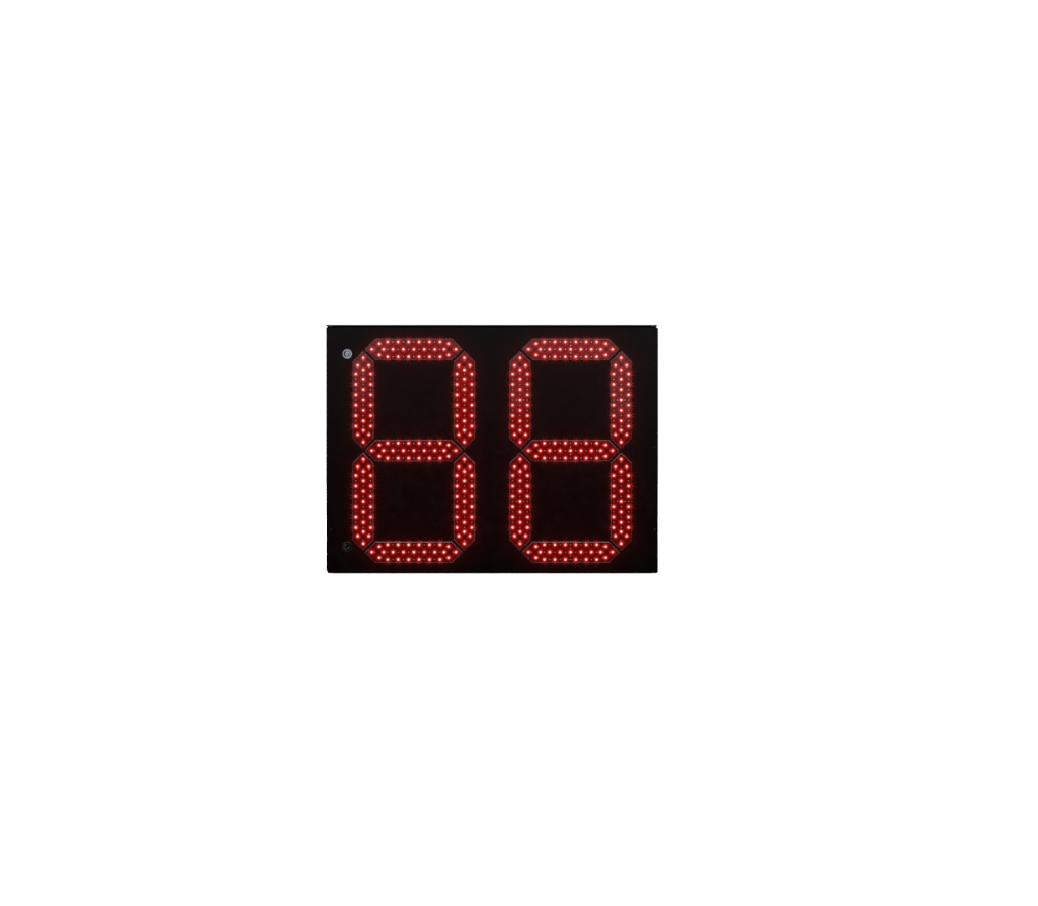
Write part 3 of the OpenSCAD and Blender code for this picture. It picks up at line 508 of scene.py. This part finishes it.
M_DOOR = powder_coat("door_paint", (0.0009, 0.0009, 0.0009), 0.21, 0.14, red_spill, 0.38, 0.01)
M_RIVET = powder_coat("rivet_paint", (0.0011, 0.0011, 0.0011), 0.3, 0.14, red_spill, 0.12, 0.01, rivet_glints)
M_HOOD = powder_coat("hood_paint", (0.0012, 0.0012, 0.0013), 0.5, 0.2, None, 0.2, 0.02)
M_CASE = powder_coat("case_paint", (0.008, 0.008, 0.0085), 0.42, 0.3)
M_LENS = lens_material()
M_POT = glow_material("potting", (0.007, 0.0007, 0.0007), 0.5, 0.1)
M_LED = glow_material("red_led", (0.16, 0.01, 0.01), 0.12)
# the unlit heads' glow colours hold a painted highlight at each crown
M_LED2 = glow_material("second_led", (0.05, 0.04, 0.038), 0.10)
M_SHROUD = plastic("shroud_black", (0.02, 0.018, 0.018), 0.5)
M_GALV = zinc("galvanised", (0.52, 0.54, 0.56), 0.44, metal=0.8)
M_ZINC = zinc("zinc_fasteners", (0.62, 0.63, 0.65), 0.28, spangle=False)
M_PLATE = zinc("plate_zinc", (0.56, 0.57, 0.57), 0.42, metal=0.45)
M_HINGE = zinc("hinge_steel", (0.36, 0.37, 0.38), 0.36, spangle=False)
M_PIN = zinc("pin_steel", (0.62, 0.63, 0.65), 0.2, spangle=False)
M_CHROME = lock_body_material()
M_CORE = lock_core_material()
M_SOLDER = zinc("solder", (0.62, 0.63, 0.66), 0.3, spangle=False)
M_CAM = zinc("cam_zinc", (0.56, 0.57, 0.6), 0.33, spangle=False)
M_PSU = zinc("psu_metal", (0.6, 0.61, 0.63), 0.36, spangle=False, metal=0.5, brushed=0.2)
M_BRASS = zinc("earth_brass", (0.72, 0.52, 0.22), 0.3, spangle=False)
M_BLACKSCREW = plastic("black_fasteners", (0.022, 0.02, 0.02), 0.35)
# the segment screws' glow is painted red light from the LEDs round them
M_SEGSCREW = plastic("segment_screw", (0.008, 0.002, 0.002), 0.5, spec=0.08, glow=(0.056, 0.0010, 0.0008))
M_NYLON = plastic("nylon_black", (0.018, 0.018, 0.019), 0.42, 0.2)
M_GASKET = plastic("gasket_foam", (0.012, 0.012, 0.012), 0.85, 0.9, 420.0, 0.2)
M_BOARD = board_material()
M_CHIP = plastic("chip_black", (0.016, 0.016, 0.018), 0.5)
M_CABLE = plastic("cable_black", (0.016, 0.016, 0.017), 0.45, 0.2, 300.0)
M_CABLE_R = plastic("cable_red", (0.36, 0.014, 0.01), 0.4, 0.15, 300.0)
M_RIBBON = plastic("cable_grey", (0.22, 0.23, 0.25), 0.5)
M_IVORY = plastic("terminal_ivory", (0.58, 0.55, 0.45), 0.45)
M_BUTTON = plastic("button_red", (0.42, 0.016, 0.012), 0.28)

BY_SLOT = {
    "door_paint": M_DOOR, "case_paint": M_CASE, "galvanised": M_GALV, "zinc_fasteners": M_ZINC,
    "black_fasteners": M_BLACKSCREW, "hinge_steel": M_HINGE, "pin_steel": M_PIN, "lock_chrome": M_CHROME,
    "cam_zinc": M_CAM, "earth_brass": M_BRASS, "nylon_black": M_NYLON, "gasket_foam": M_GASKET,
    "lens_clear": M_LENS, "shroud_black": M_SHROUD, "potting_dark": M_POT, "board_mask": M_BOARD,
    "red_led": M_LED, "second_led": M_LED2, "chip_black": M_CHIP, "cable_grey": M_RIBBON,
    "cable_black": M_CABLE, "cable_red": M_CABLE_R, "psu_metal": M_PSU, "terminal_ivory": M_IVORY,
    "plate_zinc": M_PLATE, "button_red": M_BUTTON}
SLOT_OF = {s["node"]: s["material_slot"] for s in frame["record"]["subparts"]}


def dress(node, mat):
    o = NODES[node]
    o.data.materials.clear()
    o.data.materials.append(mat)


for node in NODES:
    dress(node, BY_SLOT[SLOT_OF[node]])


def soften(node, width, segments=2, angle=35):
    o = NODES[node]
    b = o.modifiers.new("edge", "BEVEL")
    b.width = width
    b.segments = segments
    b.limit_method = "ANGLE"
    b.angle_limit = math.radians(angle)
    b.harden_normals = True


# ------------------------------------------------------------------ mesh helpers
def mesh_object(name, verts, faces, mat, body, smooth=True, colours=None):
    me = bpy.data.meshes.new(name)
    me.from_pydata([tuple(v) for v in verts], [], [tuple(f) for f in faces])
    me.materials.append(mat)
    if smooth:
        me.polygons.foreach_set("use_smooth", [True] * len(me.polygons))
    if colours is not None:
        a = me.color_attributes.new("glow", "FLOAT_COLOR", "POINT")
        rgba = np.ones((len(verts), 4), np.float32)
        rgba[:, :3] = colours
        a.data.foreach_set("color", rgba.ravel())
    me.update()
    o = bpy.data.objects.new(name, me)
    SCENE.collection.objects.link(o)
    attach(o, body)
    return o


def place(side, seg, u, v, y):
    """Row-frame points for places (u along, v across) of one segment."""
    cx, cz, turn = seg
    x = side * DIGIT_X + cx + (v if turn else u)
    z = DIGIT_Z + cz + (u if turn else v)
    return np.stack([x, np.broadcast_to(y, np.shape(x)), z], -1)


# ------------------------------------------------------------------ potting lit by the LEDs
def radial(r):
    """An LED's light at r mm from its middle, seen from in front, as linear RGB over the lit base."""
    r = np.asarray(r)
    red = 1.45 * np.exp(-r * r / 11.5) + 0.27 * np.exp(-r / 4.5)
    pink = np.exp(-r * r / 4.6)
    return np.stack([red, 1.35 * pink + 0.0075 * np.exp(-r / 2.7), 1.22 * pink + 0.0065 * np.exp(-r / 2.7)], -1)


# painted glints: a small reflection of some end LEDs, about 6 mm beside each
GHOST_GLINTS = ([(s * (102.3 - 6.3) * MM, 0.0, 1.05) for s in (-1, 1)] + [(s * (72.2 + 6.2) * MM, 0.0, 0.6) for s in (-1, 1)]
        + [(s * (84.6 - 5.9) * MM, v * 13.3 * MM, 1.75) for s in (-1, 1) for v in (-1, 1)])


def glow_at(u, v, side, level, lift):
    """Light on the potting at (u, v), in metres, as linear RGB."""
    u, v = np.asarray(u), np.asarray(v)
    out = np.zeros(u.shape + (3,))
    turn = rng.random(len(RED))
    edge = np.minimum(HALF_W - np.abs(v), (TIP - np.abs(u) - np.abs(v)) / math.sqrt(2)) / MM
    tipward = np.clip((np.abs(u) / MM - 62) / 18, 0, 1)
    rim = np.clip((edge - 0.5) / (6.0 + 4.5 * tipward), 0, 1)
    rim = rim * rim * (3 - 2 * rim)
    for k, (a, b) in enumerate(RED):
        du, dv = u - a, v - b
        r = np.hypot(du, dv) / MM
        th = np.arctan2(dv, du)
        star = 1 + 0.38 * np.exp(-((r - 5.8) / 3) ** 2) * np.cos(8 * th + 0.9 * (turn[k] - 0.5))
        out += (level[k] * star)[..., None] * radial(r)
        ray = np.clip(0.5 + 0.5 * np.cos(7 * (th - 6.3 * turn[k])), 0, 1) ** 4
        out[..., 0] += 0.15 * (0.5 + turn[k]) * ray * np.exp(-((r - 6.8) / 2.3) ** 2)
        out[..., 0] += 0.075 * level[k] * (1 - rim) * np.exp(-((r - 5.5) / 2.6) ** 2)
        out[..., 1:] += (0.009 * (0.5 + turn[k]) * ray * np.exp(-((r - 5.8) / 1.7) ** 2))[..., None]
    # painted glints beside the end LEDs
    for a, b, k in GHOST_GLINTS:
        r = np.hypot(u - a, v - b) / MM
        out += k * np.exp(-(r / 1.6) ** 2)[..., None] * np.array([0.42, 0.11, 0.10])
    # painted shade: the glow is dimmed round each unlit LED and round each segment screw
    dark = np.ones_like(u)
    for a, b in SECOND + (EXTRA if side > 0 else []):
        r = np.hypot(u - a, v - b) / MM
        dark *= 1 - 0.55 * np.exp(-(r / 3.6) ** 4)
    for s in (-1, 1):
        r = np.hypot(u - s * SCREW_U, v) / MM
        dark *= 1 - 0.60 * np.exp(-(r / 4.4) ** 3)
    base = (0.032 + 0.056 * rim) * lift * dark
    out *= dark[..., None] ** 0.5
    out += base[..., None] * np.array([1.0, 0.007, 0.005])
    return out


def potting(side, node):
    nv, nu = 47, 211
    vs = np.linspace(-HALF_W, HALF_W, nv)
    ss = np.linspace(-1, 1, nu)
    V, S = np.meshgrid(vs, ss, indexing="ij")
    U = S * (TIP - np.abs(V))
    verts, faces, cols = [], [], []
    for seg, lift in zip(SEGMENTS, LIFT[side]):
        level = 1 + 0.08 * rng.standard_normal(len(RED))
        c = glow_at(U, V, side, level, lift).reshape(-1, 3)
        # the compound creeps up round each head and dips between them
        h = np.zeros_like(U)
        for a, b in RED:
            h += 0.55 * MM * np.exp(-((np.hypot(U - a, V - b) / MM) / 3.4) ** 2)
        for a, b in SECOND:
            r = np.hypot(U - a, V - b) / MM
            h += 0.35 * MM * np.exp(-((r - 4.2) / 0.8) ** 2) - 0.2 * MM * np.exp(-(r / 3.2) ** 4)
        p = place(side, seg, U.ravel(), V.ravel(), Y_POT)
        p[:, 1] = Y_POT - h.ravel() + 0.35 * MM
        o = sum(len(x) for x in verts)
        verts.append(p)
        cols.append(c)
        idx = np.arange(nv * nu).reshape(nv, nu) + o
        a, b, cc, d = idx[:-1, :-1], idx[:-1, 1:], idx[1:, 1:], idx[1:, :-1]
        quads = np.stack([a, b, cc, d], -1).reshape(-1, 4)
        if not seg[2]:
            quads = quads
        else:
            quads = quads[:, ::-1]
        faces.append(quads)
        # skirt and back
        ring = np.concatenate([idx[0, :], idx[1:, -1], idx[-1, -2::-1], idx[-2:0:-1, 0]])
        rp = p[ring - o].copy()
        rp[:, 1] = Y_BOARD
        ro = o + len(p)
        verts.append(rp)
        cols.append(np.tile([[0.05, 0.001, 0.001]], (len(rp), 1)))
        k = np.arange(len(ring))
        j = (k + 1) % len(ring)
        side_q = np.stack([ring[j], ring[k], ro + k, ro + j], -1)
        if seg[2]:
            side_q = side_q[:, ::-1]
        faces.append(side_q)
        back = list(ro + k)
        faces.append([back[::-1] if seg[2] else back])
    V3 = np.concatenate(verts)
    F = [tuple(int(i) for i in q) for block in faces for q in block]
    o = mesh_object(node + "_lit", V3, F, M_POT, "door", True, np.concatenate(cols))
    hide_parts(node)
    return o


# ------------------------------------------------------------------ LED heads
def led_heads(name, node, side, places, r, height, mat, colour, collar=0.0, gains=(1,) * 7):
    """Round-headed LEDs: a straight side, a dome, and at the foot a small collar."""
    sides, rings = 20, 7
    prof = []
    if collar:
        prof += [(r + collar, 0.0), (r + collar, 0.7 * MM), (r, 0.75 * MM)]
    else:
        prof += [(r, 0.0)]
    prof += [(r, height - r)]
    prof += [(r * math.cos(t), height - r + r * math.sin(t)) for t in np.linspace(0, math.pi / 2, rings + 1)[1:-1]]
    prof = np.array(prof)
    ang = 2 * math.pi * np.arange(sides) / sides
    ring_pts = np.array([[q[0] * math.cos(a), q[1], q[0] * math.sin(a)] for q in prof for a in ang])
    tip = np.array([[0.0, height, 0.0]])
    tpl = np.concatenate([ring_pts, tip])
    tf = []
    for i in range(len(prof) - 1):
        for k in range(sides):
            j = (k + 1) % sides
            tf.append((i * sides + k, i * sides + j, (i + 1) * sides + j, (i + 1) * sides + k))
    top = (len(prof) - 1) * sides
    for k in range(sides):
        tf.append((top + k, top + (k + 1) % sides, len(tpl) - 1))
    foot = tuple(range(sides))[::-1]
    rad = np.hypot(tpl[:, 0], tpl[:, 2]) / r
    hgt = tpl[:, 1] / height
    verts, faces, cols = [], [], []
    for seg, gain in zip(SEGMENTS, gains):
        for (u, v) in places:
            c = place(side, seg, np.array([u]), np.array([v]), Y_POT)[0]
            p = tpl.copy()
            p[:, 1] = -p[:, 1]
            o = len(verts) * len(tpl)
            verts.append(p + c)
            faces += [tuple(o + i for i in f) for f in tf] + [tuple(o + i for i in foot)]
            cols.append(colour(rad, hgt, 1 + 0.07 * rng.standard_normal(), gain))
    ob = mesh_object(name, np.concatenate(verts), faces, mat, "door", True, np.concatenate(cols))
    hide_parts(node)
    return ob


def red_colour(rad, hgt, k, gain):
    """White-pink at the crown, deep red down the sides."""
    c = radial(rad * 2.5) + np.array([0.13, 0.002, 0.002])
    low = np.clip((hgt - 0.05) / 0.6, 0.3, 1)[:, None]
    return c * low * k


def second_colour(rad, hgt, k, gain):
    # painted highlight: a pale spot at the crown of each unlit LED, the lamp above mirrored in it, over a faint red
    # glow
    glint_spot = np.exp(-(rad / 0.56) ** 2.2)[:, None]
    tint = np.array([0.60, 0.0, 0.0]) + np.array([0.42, 0.35, 0.30]) * gain
    return (tint * glint_spot + np.array([0.06, 0.003, 0.003]) * (1 - glint_spot)) * k


for side, tag in ((-1, "left"), (1, "right")):
    potting(side, "potting_" + tag)
    led_heads("red_led_heads_" + tag, "red_leds_" + tag, side, RED, 2.5 * MM, 7 * MM, M_LED, red_colour, 0.35 * MM)
    led_heads("second_led_heads_" + tag, "second_leds_" + tag, side, SECOND + (EXTRA if side > 0 else []),
              1.5 * MM, 4 * MM, M_LED2, second_colour, 0.25 * MM, UNLIT_GLINT[side])

# ------------------------------------------------------------------ solder joints on the boards' backs
def solder(side, tag):
    """Two small cones of solder behind every LED, with the cut lead in the middle."""
    y0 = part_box("board_" + tag)[1][1]
    sides = 7
    prof = [(1.05, 0.0), (0.62, 0.35), (0.34, 0.75), (0.30, 1.15)]
    ang = 2 * math.pi * np.arange(sides) / sides
    tpl = np.array([[r * math.cos(a), h, r * math.sin(a)] for r, h in prof for a in ang]) * MM
    tf = []
    for i in range(len(prof) - 1):
        for k in range(sides):
            j = (k + 1) % sides
            tf.append((i * sides + j, i * sides + k, (i + 1) * sides + k, (i + 1) * sides + j))
    tf.append(tuple(reversed([(len(prof) - 1) * sides + k for k in range(sides)])))
    tf.append(tuple(range(sides)))
    verts, faces = [], []
    for seg in SEGMENTS:
        for pts, half in ((RED, 1.27), (SECOND + (EXTRA if side > 0 else []), 0.9)):
            for u, v in pts:
                for q in (-1, 1):
                    c = place(side, seg, np.array([u + q * half * MM]), np.array([v]), y0)[0]
                    o = len(verts) * len(tpl)
                    verts.append(tpl * (1, rng.uniform(0.8, 1.1), 1) + c)
                    faces += [tuple(o + i for i in f) for f in tf]
    return mesh_object("solder_joints_" + tag, np.concatenate(verts), faces, M_SOLDER, "door")


for side, tag in ((-1, "left"), (1, "right")):
    solder(side, tag)


# ------------------------------------------------------------------ the loom across the hinge
def catmull(points, steps):
    p = [Vector(q) for q in points]
    p = [p[0] * 2 - p[1]] + p + [p[-1] * 2 - p[-2]]
    out = []
    for i in range(1, len(p) - 2):
        for k in range(steps):
            t = k / steps
            out.append(0.5 * (2 * p[i] + (p[i + 1] - p[i - 1]) * t + (2 * p[i - 1] - 5 * p[i] + 4 * p[i + 1] - p[i + 2]) * t * t
                              + (3 * p[i] - p[i - 1] - 3 * p[i + 1] + p[i + 2]) * t ** 3))
    out.append(p[-2])
    return out


def wrapped_loom(name, points, r, pitch, mat):
    """A bundle in a spiral wrap: the radius dips along a helix, and a tie sits near each end."""
    raw = catmull(points, 24)
    run = [0.0]
    for a, b in zip(raw, raw[1:]):
        run.append(run[-1] + (b - a).length)
    rings = int(run[-1] / (1.1 * MM))
    at = np.linspace(0, run[-1], rings + 1)
    path = np.stack([np.interp(at, run, [q[i] for q in raw]) for i in range(3)], -1)
    tan = np.gradient(path, axis=0)
    tan /= np.linalg.norm(tan, axis=1)[:, None]
    sides = 18
    side_v = np.array([1.0, 0, 0])
    verts = []
    for k, (c, t) in enumerate(zip(path, tan)):
        side_v = side_v - t * (side_v @ t)
        side_v /= np.linalg.norm(side_v)
        up = np.cross(t, side_v)
        a = 2 * math.pi * np.arange(sides) / sides
        groove = np.clip(np.cos(2 * math.pi * at[k] / pitch - a) * 6 - 4.6, 0, 1) * 0.75 * MM
        end = min(at[k], run[-1] - at[k])
        tie = 1.0 if 9 * MM < end < 12.5 * MM else 0.0
        rr = (r - 0.35 * MM - groove * (1 - tie)) + 0.3 * MM * tie
        verts.append(c + np.outer(np.cos(a) * rr, side_v) + np.outer(np.sin(a) * rr, up))
    V = np.concatenate(verts)
    faces = []
    for i in range(rings):
        for k in range(sides):
            j = (k + 1) % sides
            faces.append((i * sides + k, i * sides + j, (i + 1) * sides + j, (i + 1) * sides + k))
    faces.append(tuple(reversed(range(sides))))
    faces.append(tuple(rings * sides + k for k in range(sides)))
    me = bpy.data.meshes.new(name)
    me.from_pydata([tuple(v) for v in V], [], faces)
    me.materials.append(mat)
    me.polygons.foreach_set("use_smooth", [True] * len(me.polygons))
    me.update()
    o = bpy.data.objects.new(name, me)
    SCENE.collection.objects.link(o)
    return o


_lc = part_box("loom_crossing")
LX0, LX1 = _lc[1][0] - 4 * MM, _lc[0][0] + 4 * MM
LY0, LY1 = _lc[1][1] - 4 * MM, _lc[0][1] + 4 * MM
LZ0, LZ1 = _lc[0][2], _lc[1][2]
loom = wrapped_loom("loom_crossing_wrapped", [
    (LX0, LY0, LZ0), (LX0, LY0, LZ0 + 0.010), (LX0, LY0, LZ0 + 0.020), (LX0, LY0 - 0.012, LZ0 + 0.046),
    (LX0 - 0.0015, LY0 - 0.034, LZ0 + 0.076), (LX1, LY1 + 0.003, LZ0 + 0.108), (LX1, LY1, LZ0 + 0.130),
    (LX1, LY1, LZ1 - 0.030), (LX1, LY1, LZ1 - 0.010), (LX1, LY1, LZ1)], 4 * MM, 7 * MM, M_CABLE)
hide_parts("loom_crossing")
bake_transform(loom)

dress("lock_core_upper", M_CORE)
dress("lock_core_lower", M_CORE)
dress("rain_hood", M_HOOD)
dress("door_rivets", M_RIVET)
dress("segment_screws", M_SEGSCREW)
soften("door_panel", 0.9 * MM, 3)
soften("rain_hood", 0.5 * MM, 2)
soften("housing_wrap", 0.8 * MM, 2)
soften("back_panel", 0.6 * MM, 2)
soften("mount_rail_lower", 1.2 * MM, 3)
soften("mount_rail_upper", 1.2 * MM, 3)
soften("lock_bodies", 0.3 * MM, 2)
soften("lock_core_upper", 0.25 * MM, 2)
soften("lock_core_lower", 0.25 * MM, 2)

# ------------------------------------------------------------------ stage, light and camera
SCENE.view_settings.view_transform = "Standard"
SCENE.view_settings.look = "None"
SCENE.view_settings.exposure = 0.0

me = bpy.data.meshes.new("floor")
bm = bmesh.new()
bmesh.ops.create_circle(bm, cap_ends=True, radius=16.0, segments=96)
bm.to_mesh(me)
bm.free()
floor = bpy.data.objects.new("floor", me)
SCENE.collection.objects.link(floor)
floor.location = (0, 0, -0.0002)
floor.visible_glossy = False
floor.visible_diffuse = False
fm, n = material("floor_pale", quiet=True)
co = n.obj()
far = n.add("ShaderNodeVectorMath", operation="LENGTH")
n.put(far.inputs[0], co)
# the floor glows, at half strength next to the object and a little over white far off, where the lamps no longer reach
rise = n.remap(far.outputs["Value"], 0.5, 3.2, 0.50, 1.04)
n.surface(base=(0.8, 0.8, 0.8), rough=0.9, spec=0.0, emit=(1, 1, 1), power=rise)
me.materials.append(fm)

# the studio round the object: white to the camera, dim in front and low down, paler above and behind
world = bpy.data.worlds.new("studio")
SCENE.world = world
world.use_nodes = True
w = Nodes(world)
tc = w.add("ShaderNodeTexCoord")
sp = w.add("ShaderNodeSeparateXYZ")
w.put(sp.inputs[0], tc.outputs["Generated"])
lp, bg1, bg2, mx, wo = (w.add("ShaderNode" + k) for k in ("LightPath", "Background", "Background", "MixShader", "OutputWorld"))
M = w.math
up = w.remap(sp.outputs[2], 0.25, 0.9, 0.0, 0.70)
down = w.remap(sp.outputs[2], -0.35, -0.95, 0.0, 0.40)
back = w.remap(sp.outputs[1], -0.35, 0.6, 0.0, 0.60)
across = w.remap(M("ABSOLUTE", sp.outputs[0]), 0.6, 0.98, 0.0, 0.30)
w.put(bg1.inputs[1], M("ADD", M("ADD", up, down), M("ADD", M("ADD", back, across), 0.007)))
bg1.inputs[0].default_value = (0.93, 0.96, 1.0, 1)
bg2.inputs[0].default_value = (1, 1, 1, 1)
bg2.inputs[1].default_value = 1.05
w.t.links.new(lp.outputs["Is Camera Ray"], mx.inputs[0])
w.t.links.new(bg1.outputs[0], mx.inputs[1])
w.t.links.new(bg2.outputs[0], mx.inputs[2])
w.t.links.new(mx.outputs[0], wo.inputs[0])


def area(name, loc, target, w, h, energy, colour=(1, 1, 1)):
    d = bpy.data.lights.new(name, "AREA")
    d.shape = "RECTANGLE"
    d.size, d.size_y = w, h
    d.energy = energy
    d.color = colour
    o = bpy.data.objects.new(name, d)
    SCENE.collection.objects.link(o)
    o.location = loc
    o.rotation_mode = "QUATERNION"
    o.rotation_quaternion = (Vector(target) - Vector(loc)).to_track_quat("-Z", "Y")
    return o


area("overhead", (0.0, -0.7, 3.1), (0, -0.06, 0.3), 3.6, 2.2, 80, (1.0, 0.99, 0.98)).visible_glossy = False
area("front_soft", (-0.5, -3.2, 2.3), (0, 0, 0.3), 2.4, 1.4, 70, (1.0, 0.99, 0.98)).visible_glossy = False
area("left_soft", (-4.0, 1.9, 2.1), (0, 0, 0.3), 2.4, 2.4, 60)
area("right_soft", (4.0, 1.9, 2.1), (0, 0, 0.3), 2.4, 2.4, 60)
area("back_soft", (0.4, 4.6, 2.2), (0, 0, 0.3), 3.2, 2.2, 80).visible_glossy = False

cam = bpy.data.cameras.new("camera")
cam.lens, cam.sensor_width, cam.sensor_fit = 80, 36, "HORIZONTAL"
cam_o = bpy.data.objects.new("camera", cam)
SCENE.collection.objects.link(cam_o)
SPAN = 2.4128 * MM * 1038
cam_o.location = (26.80 * 2.4128 * MM, Y_FACE - SPAN * 80 / 36, (CAD_LO.z + CAD_HI.z) / 2 - 3.68 * 2.4128 * MM)
cam_o.rotation_euler = (math.radians(90), 0, 0)
cam.clip_end = 100
SCENE.camera = cam_o

# The pale screens behind the camera that the lenses, the locks and the paint mirror. Each is given by the part of the
# face that mirrors it, and is set where a flat mirror there would show it.
SCREEN_Y = -6.4
K = (SCREEN_Y - Y_FACE) / (cam_o.location.y - Y_FACE)
SCREENS = [(-0.3655, -0.3335, 0.514, 0.546), (-1.3, 1.3, 0.548, 1.25), (-1.3, -0.300, 0.425, 0.548), (-0.300, -0.245, 0.522, 0.548),
           (-0.120, -0.062, 0.530, 0.548), (-0.078, -0.060, 0.448, 0.530), (0.035, 0.078, 0.395, 0.548),
           (0.078, 0.165, 0.518, 0.548), (0.195, 0.285, 0.518, 0.548), (0.285, 1.3, 0.368, 0.548)]
vs, fs = [], []
for x0, x1, z0, z1 in SCREENS:
    for x, z in ((x0, z0), (x1, z0), (x1, z1), (x0, z1)):
        vs.append((x + (x - cam_o.location.x) * K, SCREEN_Y, z + (z - cam_o.location.z) * K))
    fs.append(tuple(range(len(vs) - 4, len(vs))))
# the first one is brighter and stands just before the rest
vs[:4] = [(a, b + 0.002, c) for a, b, c in vs[:4]]
me = bpy.data.meshes.new("pale_screens")
me.from_pydata(vs, [], fs)
screens = bpy.data.objects.new("pale_screens", me)
SCENE.collection.objects.link(screens)
for power in (0.26, 0.85):
    sm, n = material("pale_screen")
    e = n.add("ShaderNodeEmission")
    e.inputs["Color"].default_value = (0.94, 0.97, 1.0, 1)
    e.inputs["Strength"].default_value = power
    n.out(e.outputs[0])
    me.materials.append(sm)
me.polygons[0].material_index = 1
screens.visible_camera = False
screens.visible_shadow = False
